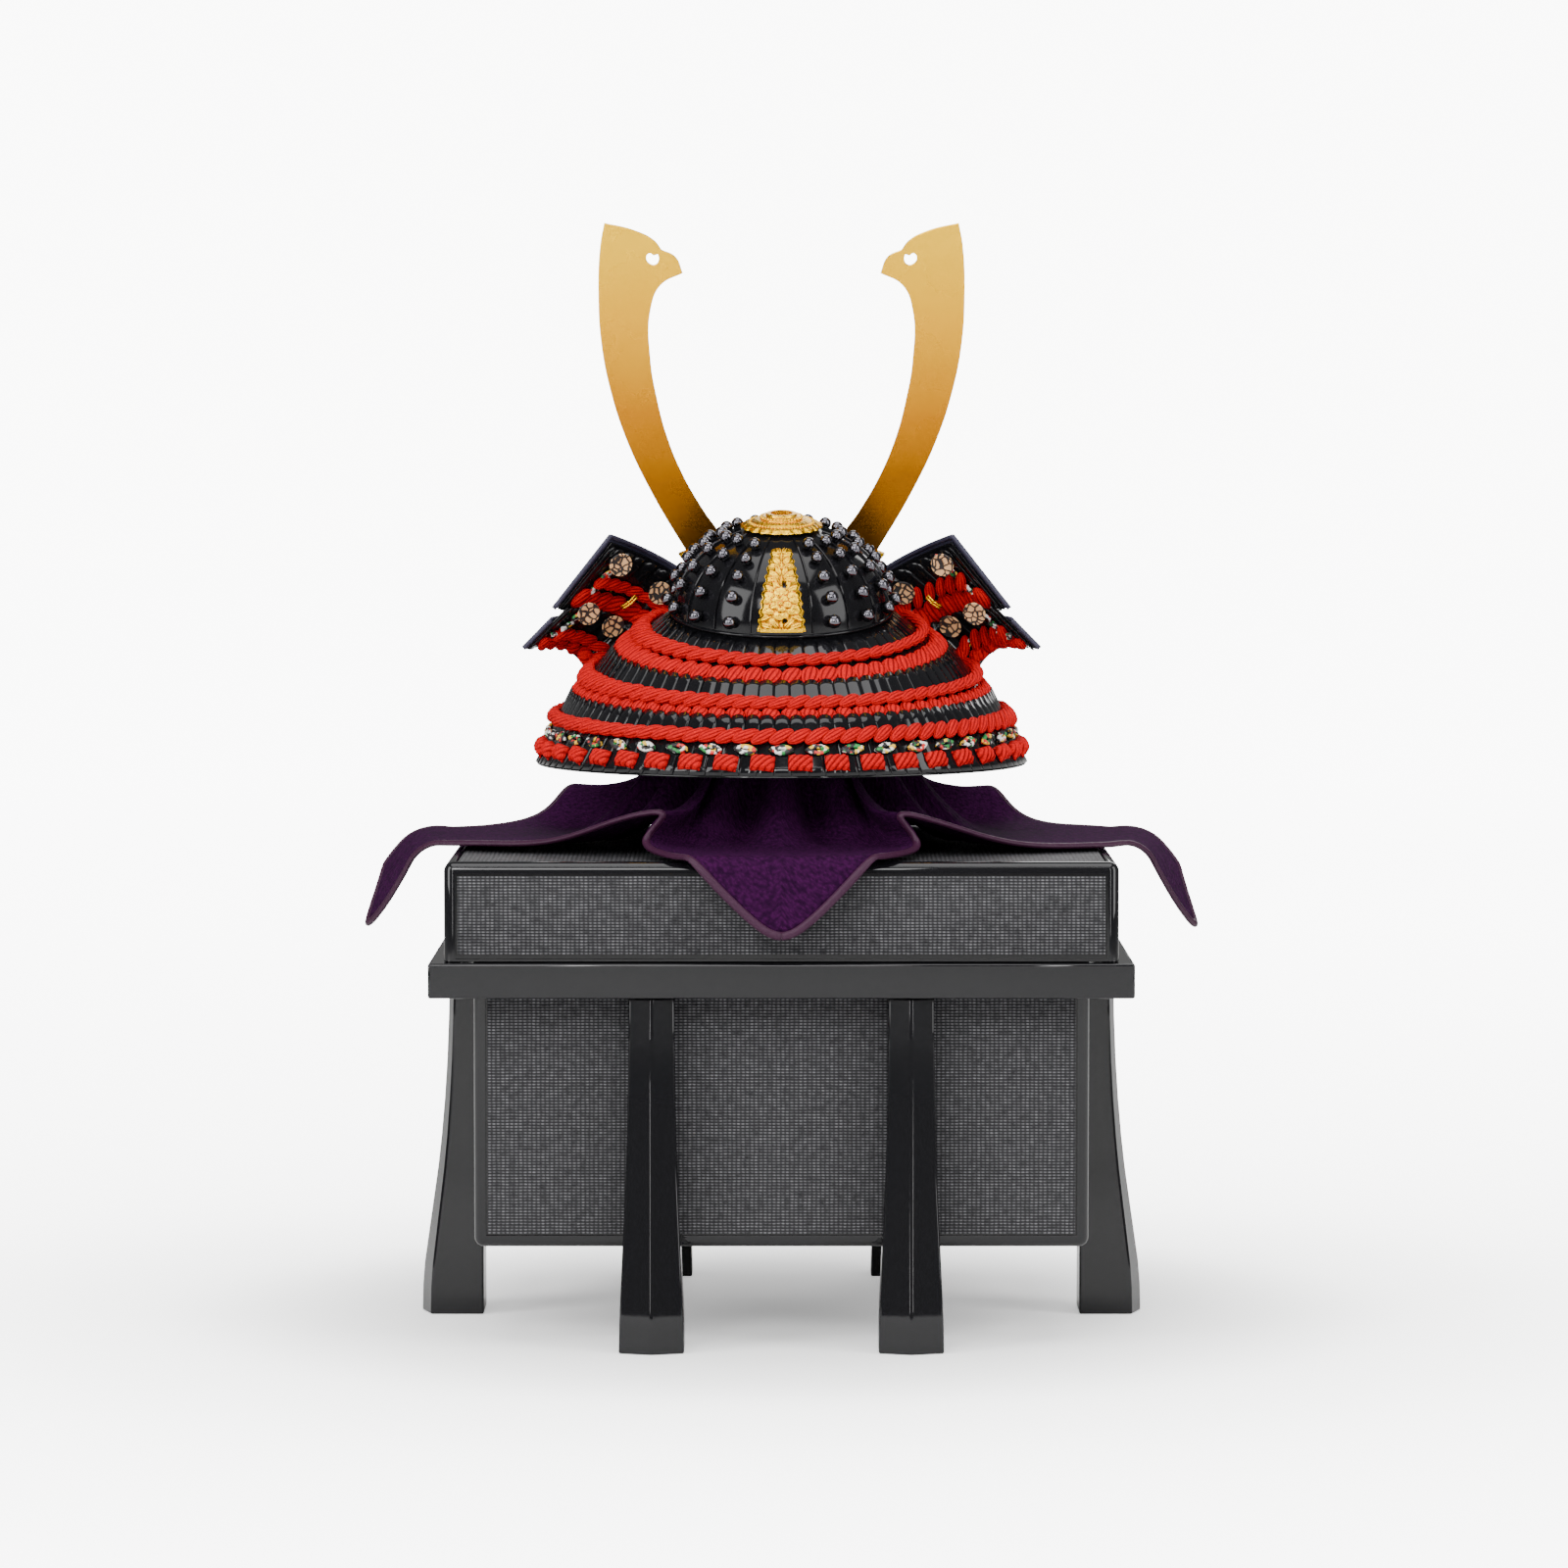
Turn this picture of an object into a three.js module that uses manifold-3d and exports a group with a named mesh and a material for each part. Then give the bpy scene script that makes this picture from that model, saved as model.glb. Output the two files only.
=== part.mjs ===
// A small display kabuto (samurai helmet) on its six-legged storage chest, seen from behind at azimuth 0.
// The helmet faces +Y, the chest stands on z = 0 and the middle of its footprint is the origin. Millimetres, +Z up.
// A hidden post on the chest's lid carries the helmet, with a square of crepe draped over post and lid.
import * as THREE from "three";
import { mergeVertices } from "three/addons/utils/BufferGeometryUtils.js";
import Module from "manifold-3d";

const wasm = await Module();
wasm.setup();

// ---------- Driving dimensions ----------
const GAP = 0.3; // air between neighbouring pieces
const DEG = Math.PI / 180;

const CHEST = { width: 263, depth: 214, wall: 6, corner: 4, floor: 42.3, rim: 176 };
const RAIL = { width: 300, depth: 251, bottom: 150.8, top: 165.7 };
const LID = { width: 287, depth: 238, wall: 6, corner: 4, top: 208.4 };
const PANEL = { border: 5.6, recess: 1.2, thickness: 0.8 };
const LEG_SPREAD = 55.2; // the front and back legs stand this far either side of the middle
const LEG_SECTIONS = [
  { height: 0, ridge: 28.3, corner: 23.9, width: 27.9 },
  { height: 22, ridge: 27.2, corner: 22.8, width: 26.7 },
  { height: 50, ridge: 23.2, corner: 19.4, width: 24.2 },
  { height: 78, ridge: 19.6, corner: 16.2, width: 21.8 },
  { height: 112, ridge: 17.0, corner: 13.8, width: 20.2 },
  { height: RAIL.bottom - GAP, ridge: 15.8, corner: 12.9, width: 19.5 },
];

// The bowl is half an ellipsoid on a rim that leans back; its rim centre is the bowl group's origin.
const BOWL = { halfWidth: 48, halfDepth: 50, height: 38.5, wall: 1.8, rimHeight: 311.6, lean: 10.8 * DEG };
const RIB = { first: 16.5 * DEG, step: 21 * DEG, perSide: 8, halfAngle: 1.5 * DEG, height: 1 };
const RIVET = { radius: 2.6, standOff: 1, elevations: [6, 21, 35, 48, 60].map((a) => a * DEG) };
const CROWN = { radius: 18.4, hole: 4.8 };
const BACK_PLATE = { bottomHalf: 10.4, topHalf: 4, low: 2 * DEG, high: 57 * DEG, thickness: 1.3, relief: 1.5 };
const VISOR = { reach: 20, drop: 9, thickness: 1.4, rimRadius: 1.1, start: 139 * DEG };
const HORN = { thickness: 1.2, stand: 56.5 };

// Each neck-guard plate runs between two edges. An edge is a tilted oval: half width, depth behind the middle, height
// at back and side. The top edge of a lower plate lies off the plate above it instead. A plate with wings leaves its
// oval at fold, and turns out and back to a wing edge at (x, y, z) on each side; rise, inward, forward and lift shape
// the curve between the fold and that edge. A plate without wings stops at end.
const GUARD_THICKNESS = 1.1;
const LIFT = 0.8; // what is laced on a plate lies this far off it
const GUARDS = {
  guard_1: {
    fold: 31,
    top: { width: 48.8, depth: 50, back: 299.8, side: 309.6 },
    bottom: { width: 74.5, depth: 75.5, back: 279.3, side: 291.8 },
    wingTop: { x: 75.7, y: 6, z: 339.7, rise: 2.1, inward: 19.7, forward: 38, lift: -7.5 },
    wingBottom: { x: 98.5, y: 6, z: 311.1, rise: 5, inward: 18, forward: 37, lift: 1.4 },
  },
  guard_2: {
    fold: 28,
    under: { guard: "guard_1", at: 0.9, off: 3, reach: 1 },
    bottom: { width: 91.5, depth: 91.5, back: 266.3, side: 273.7 },
    wingBottom: { x: 112.4, y: 2, z: 293.6, rise: 6.8, inward: 16.9, forward: 36, lift: 6.9 },
  },
  guard_3: {
    end: 113 * DEG,
    under: { guard: "guard_2", at: 0.93, off: 3, reach: 0.78 },
    bottom: { width: 108.5, depth: 107, back: 243.7, side: 244.2 },
  },
};
const FOLD_AT = 0.78; // share of a winged plate's half length that lies before the fold
const RUN_ON = 8; // how far a plate runs on past the fold before it turns

// Rows of red lacing cord: the plate, how far down it the row lies, its half height and half thickness.
const ROPES = {
  rope_1: { guard: "guard_1", at: 0.48, halfHeight: 2.8, halfThickness: 2.2 },
  rope_2: { guard: "guard_2", at: 0.62, halfHeight: 2.8, halfThickness: 2.2 },
  rope_3: { guard: "guard_3", at: 0.38, halfHeight: 2.8, halfThickness: 2.2 },
};
// Bands of hanging lacing under the ropes: the plate, and the stretch of it that the band covers.
const BANDS = {
  lacing_1: { guard: "guard_1", from: 0.68, to: 0.87, thickness: 0.9 },
  lacing_2: { guard: "guard_2", from: 0.8, to: 0.92, thickness: 0.9 },
};
const STITCH = { guard: "guard_3", from: 0.67, to: 0.92, count: 28, fill: 0.72, thickness: 2.6, web: 0.9 };

const LEATHER = 1.2;
const COVERS = {
  cover_upper: { guard: "guard_1", from: -0.1, to: 1, last: 1.06 },
  cover_lower: { guard: "guard_2", from: 0.3, to: 1, last: 1.03 },
};
// Leather washers on the laced side of a wing: which plate, how far down it, how far out along the wing.
const WASHER = { radius: 5.4, thickness: 0.8, lift: 6.2 };
const WASHERS = [
  { guard: "guard_1", down: 0.13, out: 0.95 },
  { guard: "guard_1", down: 0.3, out: 0.48 },
  { guard: "guard_2", down: -0.1, out: 0.96 },
  { guard: "guard_2", down: 0.16, out: 0.58 },
];
const CREST_STUD = { guard: "guard_1", down: 0.55, out: 0.66, radius: 7, thickness: 1.6 };

// The post under the cloth, and the cloth: a square laid corner to the front, with a fold towards each side's middle.
const POST = { baseRadius: 38, baseHeight: 6, stemRadius: 6, headRadius: 9, headHeight: 10, top: 340.5 };
const CLOTH = { thickness: 1.5, frontReach: 242, backReach: 252, sideReach: 282, steps: 24 };
const TENT = { neck: 13.5, spread: 106, sharpness: 2.6, hem: 4.2 };
// The folds on each side, by their angle round the flat cloth from the front corner; a fold's crest leans forward.
const FOLDS = [
  { angle: 45 * DEG, width: 14 * DEG, height: 16, lean: 14 },
  { angle: 132 * DEG, width: 17 * DEG, height: 21, lean: 8 },
];
const GATHER = 7 * DEG; // how far the cloth is gathered towards its four folds
const SIDE_SLOPE = 57 * DEG; // how steeply a side corner hangs past the lid's edge
const FRONT_SLOPE = 82 * DEG;
const EDGE_BEND = 9; // the length over which the cloth bends down past the lid's edge

// ---------- Materials ----------
const paint = (color, roughness, metalness = 0) => new THREE.MeshStandardMaterial({ color, roughness, metalness });
const blackLacquer = paint(0x0b0b0d, 0.18);
const chestLacquer = paint(0x101012, 0.15);
const wovenPanel = paint(0x23262a, 0.6);
const gold = paint(0xe2a934, 0.25, 1);
const horngold = paint(0xd9a33f, 0.3, 1);
const redCord = paint(0xd6151b, 0.9);
const navyLeather = paint(0x17162b, 0.6);
const tanLeather = paint(0xc59468, 0.7);
const purpleCrepe = paint(0x2e1140, 0.95);
const wood = paint(0xc9a878, 0.7);

// ---------- Geometry helpers ----------
const v3 = (x, y, z) => new THREE.Vector3(x, y, z);
const mix = (a, b, t) => a + (b - a) * t;
const range = (count) => Array.from({ length: count }, (_, i) => i);

function geometryOf(positions, triangles) {
  const geometry = new THREE.BufferGeometry();
  const flat = new Float32Array(positions.flatMap((p) => [p.x, p.y, p.z]));
  geometry.setAttribute("position", new THREE.BufferAttribute(flat, 3));
  geometry.setIndex(triangles);
  return geometry;
}

// A geometry as a manifold-3d solid, turned so that its faces point out.
function solid(geometry) {
  const bare = new THREE.BufferGeometry().setAttribute("position", geometry.getAttribute("position"));
  if (geometry.index) bare.setIndex(geometry.index);
  const merged = mergeVertices(bare, 1e-3);
  const triVerts = new Uint32Array(merged.index.array);
  const vertProperties = merged.attributes.position.array;
  const made = new wasm.Manifold(new wasm.Mesh({ numProp: 3, vertProperties, triVerts }));
  if (made.volume() > 0) return made;
  for (let i = 0; i < triVerts.length; i += 3) [triVerts[i + 1], triVerts[i + 2]] = [triVerts[i + 2], triVerts[i + 1]];
  return new wasm.Manifold(new wasm.Mesh({ numProp: 3, vertProperties, triVerts }));
}

function geometryFrom(manifold) {
  const mesh = manifold.getMesh();
  const positions = new Float32Array(mesh.numVert * 3);
  for (let i = 0; i < mesh.numVert; i++) positions.set(mesh.vertProperties.subarray(i * mesh.numProp, i * mesh.numProp + 3), i * 3);
  const geometry = new THREE.BufferGeometry();
  geometry.setAttribute("position", new THREE.BufferAttribute(positions, 3));
  geometry.setIndex(new THREE.BufferAttribute(mesh.triVerts, 1));
  return geometry;
}

const placed = (geometry, x, y, z) => solid(geometry.clone().translate(x, y, z));
const block = (low, high) =>
  placed(new THREE.BoxGeometry(...high.map((h, i) => h - low[i])), ...high.map((h, i) => (h + low[i]) / 2));

// Rings of points, one after another, skinned into a solid with fan caps at both ends.
function loft(rings) {
  const sides = rings[0].length;
  const triangles = [];
  for (let r = 0; r + 1 < rings.length; r++)
    for (let i = 0; i < sides; i++) {
      const [a, b] = [r * sides + i, r * sides + ((i + 1) % sides)];
      triangles.push(a, b, b + sides, a, b + sides, a + sides);
    }
  const last = (rings.length - 1) * sides;
  for (let i = 1; i + 1 < sides; i++) triangles.push(0, i + 1, i, last, last + i, last + i + 1);
  return geometryFrom(solid(geometryOf(rings.flat(), triangles)));
}

// A wall between an outer and an inner sheet of points, each a function of column and row.
function wall(columns, rows, outer, inner) {
  const sheets = [outer, inner].map((sheet) => range(columns + 1).flatMap((i) => range(rows + 1).map((j) => sheet(i, j))));
  const half = (columns + 1) * (rows + 1);
  const at = (i, j) => i * (rows + 1) + j;
  const triangles = [];
  const quad = (a, b, c, d) => triangles.push(a, b, c, a, c, d);
  for (let i = 0; i < columns; i++)
    for (let j = 0; j < rows; j++) {
      const [a, b, c, d] = [at(i, j), at(i + 1, j), at(i + 1, j + 1), at(i, j + 1)];
      quad(a, b, c, d);
      quad(half + a, half + d, half + c, half + b);
    }
  const edge = [
    ...range(columns).map((i) => at(i, 0)),
    ...range(rows).map((j) => at(columns, j)),
    ...range(columns).map((i) => at(columns - i, rows)),
    ...range(rows).map((j) => at(0, rows - j)),
  ];
  edge.forEach((a, k) => {
    const b = edge[(k + 1) % edge.length];
    quad(a, half + a, half + b, b);
  });
  return geometryFrom(solid(geometryOf(sheets.flat(), triangles)));
}

function roundedRectangle(width, depth, radius, height, arcSteps = 3) {
  const centres = [[1, 1, 0], [-1, 1, 90], [-1, -1, 180], [1, -1, 270]];
  return centres.flatMap(([sx, sy, turn]) =>
    range(arcSteps + 1).map((k) => {
      const a = (turn + (90 * k) / arcSteps) * DEG;
      return v3(sx * (width / 2 - radius) + radius * Math.cos(a), sy * (depth / 2 - radius) + radius * Math.sin(a), height);
    }),
  );
}

// A box with rounded upright corners, and an eased edge round its bottom or its top.
function easedBox({ width, depth, corner }, bottom, top, eased) {
  const easing = [0, 30, 60, 90].map((a) => [corner * (1 - Math.sin(a * DEG)), corner * (1 - Math.cos(a * DEG))]);
  const ring = (inset, height) => roundedRectangle(width - 2 * inset, depth - 2 * inset, corner, height);
  const plain = (height) => [ring(0, height)];
  const round = easing.map(([rise, inset]) => [inset, rise]);
  return eased === "bottom"
    ? loft([...round.slice().reverse().map(([inset, rise]) => ring(inset, bottom + rise)), ...plain(top)])
    : loft([...plain(bottom), ...round.map(([inset, rise]) => ring(inset, top - rise))]);
}

// ---------- The assembly ----------
const root = new THREE.Group();
const bowlGroup = new THREE.Group();
bowlGroup.position.set(0, 0, BOWL.rimHeight);
bowlGroup.rotation.x = BOWL.lean;
root.add(bowlGroup);

function add(name, geometry, material, group = root) {
  const mesh = new THREE.Mesh(geometry, material);
  mesh.name = name;
  group.add(mesh);
  return mesh;
}

// ---------- Chest ----------
// A side of a box that takes a woven panel: which way it faces, how wide it is, and its bottom and top.
function sidesOf({ width, depth }, low, high) {
  return [
    { side: "rear", axis: 1, sign: -1, half: width / 2, out: depth / 2, low, high },
    { side: "front", axis: 1, sign: 1, half: width / 2, out: depth / 2, low, high },
    { side: "left", axis: 0, sign: -1, half: depth / 2, out: width / 2, low, high },
    { side: "right", axis: 0, sign: 1, half: depth / 2, out: width / 2, low, high },
  ];
}

// The block that fills a side between two depths below its face, held in from its edges.
function slab({ axis, sign, half, out, low, high }, from, to, inset) {
  const across = [-half + inset, half - inset];
  const through = [sign * (out - to), sign * (out - from)].sort((a, b) => a - b);
  const [x, y] = axis ? [across, through] : [through, across];
  return block([x[0], y[0], low + inset], [x[1], y[1], high - inset]);
}

function panelled(box, sides, prefix) {
  const { border, recess, thickness } = PANEL;
  const cut = sides.reduce((left, side) => left.subtract(slab(side, -1, recess, border)), box);
  for (const side of sides) {
    const panel = slab(side, recess - GAP - thickness, recess - GAP, border + GAP);
    add(`${prefix}_panel_${side.side}`, geometryFrom(panel), wovenPanel);
  }
  return cut;
}

function buildChest() {
  const { width, depth, wall: thick, floor, rim } = CHEST;
  const shell = solid(easedBox(CHEST, floor, rim, "bottom"));
  const inside = block([thick - width / 2, thick - depth / 2, floor + thick], [width / 2 - thick, depth / 2 - thick, rim + 1]);
  const body = panelled(shell.subtract(inside), sidesOf(CHEST, floor, RAIL.bottom + PANEL.border), "body");
  add("chest_body", geometryFrom(body), chestLacquer);

  const rail = block([-RAIL.width / 2, -RAIL.depth / 2, RAIL.bottom], [RAIL.width / 2, RAIL.depth / 2, RAIL.top]);
  const hole = block([-width / 2 - GAP, -depth / 2 - GAP, 0], [width / 2 + GAP, depth / 2 + GAP, LID.top]);
  add("chest_rail", geometryFrom(rail.subtract(hole)), chestLacquer);
}

function buildLid() {
  const bottom = RAIL.top + GAP;
  const { width, depth, wall: thick, top } = LID;
  const { border, recess, thickness } = PANEL;
  const cap = solid(easedBox(LID, bottom, top, "top"));
  const inside = block([thick - width / 2, thick - depth / 2, 0], [width / 2 - thick, depth / 2 - thick, top - thick]);
  const across = [width / 2 - border, depth / 2 - border];
  const sunk = block([-across[0], -across[1], top - recess], [across[0], across[1], top + 1]);
  const sides = sidesOf(LID, bottom - border / 2, top);
  add("chest_lid", geometryFrom(panelled(cap.subtract(inside).subtract(sunk), sides, "lid")), chestLacquer);
  const low = top - recess + GAP;
  const panel = block([GAP - across[0], GAP - across[1], low], [across[0] - GAP, across[1] - GAP, low + thickness]);
  add("lid_panel_top", geometryFrom(panel), wovenPanel);
}

// One leg, standing against the -Y face of the body: flat inside, with two facets that meet in a ridge outside.
function legGeometry() {
  return loft(
    LEG_SECTIONS.map(({ height, ridge, corner, width }) => [
      v3(-width / 2, -GAP, height),
      v3(-width / 2, -corner, height),
      v3(0, -ridge, height),
      v3(width / 2, -corner, height),
      v3(width / 2, -GAP, height),
    ]),
  );
}

function buildLegs() {
  const stands = [
    { name: "leg_rear_left", x: -LEG_SPREAD, y: -CHEST.depth / 2, turn: 0 },
    { name: "leg_rear_right", x: LEG_SPREAD, y: -CHEST.depth / 2, turn: 0 },
    { name: "leg_front_left", x: -LEG_SPREAD, y: CHEST.depth / 2, turn: 180 },
    { name: "leg_front_right", x: LEG_SPREAD, y: CHEST.depth / 2, turn: 180 },
    { name: "leg_left", x: -CHEST.width / 2, y: 0, turn: -90 },
    { name: "leg_right", x: CHEST.width / 2, y: 0, turn: 90 },
  ];
  for (const { name, x, y, turn } of stands) {
    const leg = add(name, legGeometry(), chestLacquer);
    leg.position.set(x, y, 0);
    leg.rotation.z = turn * DEG;
  }
}

// ---------- Bowl and its fittings, in the bowl group's frame ----------
// A point of the bowl: angle from the back towards +X, elevation from rim to top, and how far off the surface.
function bowlPoint(angle, elevation, off = 0) {
  const out = Math.cos(elevation);
  return v3(
    (BOWL.halfWidth + off) * out * Math.sin(angle),
    -(BOWL.halfDepth + off) * out * Math.cos(angle),
    (BOWL.height + off) * Math.sin(elevation),
  );
}

const ribAngles = range(RIB.perSide).flatMap((k) => [1, -1].map((s) => s * (RIB.first + k * RIB.step)));
const columnAngles = range(RIB.perSide - 1).flatMap((k) => [1, -1].map((s) => s * (RIB.first + (k + 0.5) * RIB.step)));

function domeGeometry(angles, rows, off, bottom) {
  const skirt = bottom.map(([height, flare]) => angles.map((a) => bowlPoint(a, 0, flare).setZ(height)));
  const elevations = range(rows + 1).map((r) => (r / rows) * 84 * DEG);
  return loft([...skirt, ...elevations.map((elevation) => angles.map((a) => bowlPoint(a, elevation, off(a))))]);
}

function buildBowl() {
  const angles = ribAngles.flatMap((a) => [a - RIB.halfAngle, a, a + RIB.halfAngle]);
  angles.push(0, Math.PI);
  angles.sort((a, b) => a - b);
  const onRib = (angle) => ribAngles.some((a) => Math.abs(a - angle) < 1e-6);
  const skirt = [[-1.4, RIB.height], [-0.3, RIB.height]];
  const outer = solid(domeGeometry(angles, 6, (a) => (onRib(a) ? RIB.height : 0), skirt));
  const even = range(24).map((k) => (k / 24 - 0.5) * 2 * Math.PI);
  const inner = solid(domeGeometry(even, 6, () => -BOWL.wall, [[-5, -BOWL.wall]]));
  const rivets = columnAngles.flatMap((angle) =>
    RIVET.elevations.map((elevation) => {
      const centre = bowlPoint(angle, elevation, RIVET.standOff);
      return placed(new THREE.OctahedronGeometry(RIVET.radius, 0).rotateZ(angle), centre.x, centre.y, centre.z);
    }),
  );
  const hole = placed(new THREE.CylinderGeometry(CROWN.hole, CROWN.hole, 40, 16).rotateX(Math.PI / 2), 0, 0, BOWL.height);
  const shell = wasm.Manifold.union([outer, ...rivets]).subtract(inner).subtract(hole);
  add("bowl", geometryFrom(shell), blackLacquer, bowlGroup);
}

// The crown ring: a stepped gilt disc round the hole in the bowl's top.
function buildCrownRing() {
  const crest = BOWL.height + RIB.height;
  const seat = (r) => crest * Math.sqrt(1 - (r / (BOWL.halfDepth + RIB.height)) ** 2) + GAP;
  const { radius, hole } = CROWN;
  const profile = [
    [hole, seat(0)],
    [radius * 0.55, seat(radius * 0.5)],
    [radius - 0.8, seat(radius) + 0.2],
    [radius, seat(radius) + 0.9],
    [radius * 0.93, seat(radius) + 2.2],
    [radius * 0.72, seat(radius) + 3.6],
    [radius * 0.7, seat(radius) + 4.4],
    [radius * 0.5, seat(radius) + 5.6],
    [radius * 0.47, seat(radius) + 6.6],
    [hole + 2, seat(radius) + 7.2],
    [hole + 1.6, seat(radius) + 8.4],
    [hole, seat(radius) + 8.2],
    [hole, seat(0)],
  ].map(([r, z]) => new THREE.Vector2(r, z));
  const ring = new THREE.LatheGeometry(profile, 20).rotateX(Math.PI / 2);
  add("crown_ring", geometryFrom(solid(ring)), gold, bowlGroup);
}

// The height of the back ornament's relief at across -1..1 and up 0..1: a peony low down, with leaves above and below.
function relief(across, up) {
  const flower = { up: 0.32, radius: 0.2 };
  const halfHeight = 1.9; // the plate's length over its half width
  const [dx, dy] = [across, (up - flower.up) * 2 * halfHeight];
  const distance = Math.hypot(dx, dy) / 0.95;
  if (distance < 1) return 1 - 0.45 * Math.cos(Math.atan2(dy, dx) * 5) * distance - 0.3 * (distance - 0.4) ** 2;
  return 0.35 + 0.3 * Math.cos(up * 44) * Math.cos(across * 3.1);
}

function buildBackPlate() {
  const { bottomHalf, topHalf, low, high, thickness, relief: rise } = BACK_PLATE;
  const [columns, rows] = [8, 16];
  const at = (i, j, off) => {
    const [across, up] = [(2 * i) / columns - 1, j / rows];
    const elevation = mix(low, high, up);
    const half = mix(bottomHalf, topHalf, up ** 1.4);
    const angle = Math.asin((across * half) / (BOWL.halfWidth * Math.cos(elevation)));
    return bowlPoint(angle, elevation, off(across, up));
  };
  const geometry = wall(
    columns,
    rows,
    (i, j) => at(i, j, (across, up) => GAP + thickness + rise * relief(across, up)),
    (i, j) => at(i, j, () => GAP),
  );
  add("back_plate", geometry, gold, bowlGroup);
}

// The visor: a sloping peak round the front half of the rim, with a gilt tube along its edge.
function visorPoint(share, out, drop = 0) {
  const angle = mix(VISOR.start, 2 * Math.PI - VISOR.start, share);
  const reach = 2.2 + VISOR.reach * Math.sin(share * Math.PI) ** 1.3;
  const rim = bowlPoint(angle, 0, RIB.height + GAP + out * reach);
  return rim.setZ(-0.4 - VISOR.drop * (out * reach) / (VISOR.reach + 2) - drop);
}

function buildVisor() {
  const steps = 24;
  const sheet = (drop) => (i, j) => visorPoint(i / steps, j, drop);
  add("visor", wall(steps, 1, sheet(0), sheet(VISOR.thickness)), blackLacquer, bowlGroup);
  const rings = range(steps + 1).map((i) => {
    const edge = visorPoint(i / steps, 1, VISOR.thickness / 2);
    const away = edge.clone().setZ(0).normalize();
    const centre = edge.clone().addScaledVector(away, VISOR.rimRadius + GAP);
    return range(6).map((k) => {
      const a = (k / 6) * 2 * Math.PI;
      return centre.clone().addScaledVector(away, VISOR.rimRadius * Math.cos(a)).add(v3(0, 0, VISOR.rimRadius * Math.sin(a)));
    });
  });
  add("visor_rim", loft(rings), gold, bowlGroup);
}

// ---------- Crest: two flat gilt horns in a gilt holder that stands on the visor ----------
function hornShape() {
  const shape = new THREE.Shape();
  shape.moveTo(22, 3);
  shape.lineTo(34, 0.5);
  shape.splineThru([[44.5, 17], [59.3, 43], [69.5, 65.3], [76.5, 87.6], [80.4, 108.6], [81.6, 130], [80.6, 153.3]].map(([x, y]) => new THREE.Vector2(x, y)));
  shape.lineTo(78.8, 163.2);
  shape.splineThru([[74, 162.3], [65.6, 160], [60.1, 157.8], [56.5, 155.3], [53.4, 151.2]].map(([x, y]) => new THREE.Vector2(x, y)));
  shape.quadraticCurveTo(46.2, 149, 44, 140.7);
  shape.quadraticCurveTo(57.6, 136.8, 58.4, 124.2);
  shape.splineThru([[59.1, 113.8], [58.5, 100.7], [56, 85], [50.9, 65.3], [43.8, 48.1], [34.8, 32.3], [27.3, 21]].map(([x, y]) => new THREE.Vector2(x, y)));
  shape.closePath();
  const heart = new THREE.Path();
  heart.moveTo(55, 149.4);
  heart.lineTo(59.2, 149.4);
  heart.quadraticCurveTo(61.6, 147.2, 59, 146.6);
  heart.quadraticCurveTo(57.6, 142.8, 55.2, 145.6);
  heart.closePath();
  shape.holes.push(heart);
  return shape;
}

function buildHorns() {
  for (const [name, side] of [["horn_left", -1], ["horn_right", 1]]) {
    const plate = new THREE.ExtrudeGeometry(hornShape(), { depth: HORN.thickness, bevelEnabled: false, curveSegments: 3 });
    plate.rotateX(Math.PI / 2).translate(0, HORN.stand + HORN.thickness, 0);
    const made = solid(plate);
    add(name, geometryFrom(side > 0 ? made : made.mirror([1, 0, 0])), horngold, bowlGroup);
  }
}

// The holder: a plate in front of the horns and one behind, joined below them, each with an arm up either horn.
function buildHornHolder() {
  const outline = (half, top, arm) => {
    const shape = new THREE.Shape();
    shape.moveTo(-half, -1.3);
    shape.lineTo(half, -1.3);
    shape.lineTo(half + 12, -0.5);
    shape.lineTo(arm, 13);
    shape.lineTo(arm - 18, 20);
    shape.quadraticCurveTo(12, 6, 0, top);
    shape.quadraticCurveTo(-12, 6, 18 - arm, 20);
    shape.lineTo(-arm, 13);
    shape.lineTo(-half - 12, -0.5);
    shape.closePath();
    return shape;
  };
  const leaf = (shape, y, thickness) =>
    solid(new THREE.ExtrudeGeometry(shape, { depth: thickness, bevelEnabled: false, curveSegments: 5 }).rotateX(Math.PI / 2).translate(0, y + thickness, 0));
  const front = leaf(outline(24, 14, 46.5), HORN.stand + HORN.thickness + GAP, 1.2);
  const rear = leaf(outline(24, 8, 46.5), HORN.stand - GAP - 1.2, 1.2);
  const sole = block([-19, HORN.stand - GAP - 1.2, -1.3], [19, HORN.stand + HORN.thickness + GAP + 1.2, 0.3]);
  add("horn_holder", geometryFrom(front.add(rear).add(sole)), gold, bowlGroup);
}

// ---------- Neck guard ----------
const onOval = ({ width, depth, back, side }, angle) =>
  v3(width * Math.sin(angle), -depth * Math.cos(angle), mix(side, back, Math.cos(angle)));

// A point of a plate's edge, at a share of its half length on the right-hand side.
function edgePoint({ fold, end }, oval, wing, share) {
  if (!fold) return onOval(oval, share * end);
  const last = Math.acos(-fold / oval.depth);
  if (share <= FOLD_AT) return onOval(oval, (share / FOLD_AT) * last);
  const start = onOval(oval, last);
  const heading = v3(oval.width * Math.cos(last), oval.depth * Math.sin(last), 0).normalize();
  const first = start.clone().addScaledVector(heading, RUN_ON).add(v3(0, 0, wing.rise));
  const second = v3(wing.x - wing.inward, wing.y + wing.forward, wing.z + wing.lift);
  const edge = v3(wing.x, wing.y, wing.z);
  const out = (share - FOLD_AT) / (1 - FOLD_AT);
  if (out <= 1) return new THREE.CubicBezierCurve3(start, first, second, edge).getPoint(out);
  return edge.clone().addScaledVector(edge.clone().sub(second).normalize(), (out - 1) * 45);
}

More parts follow.
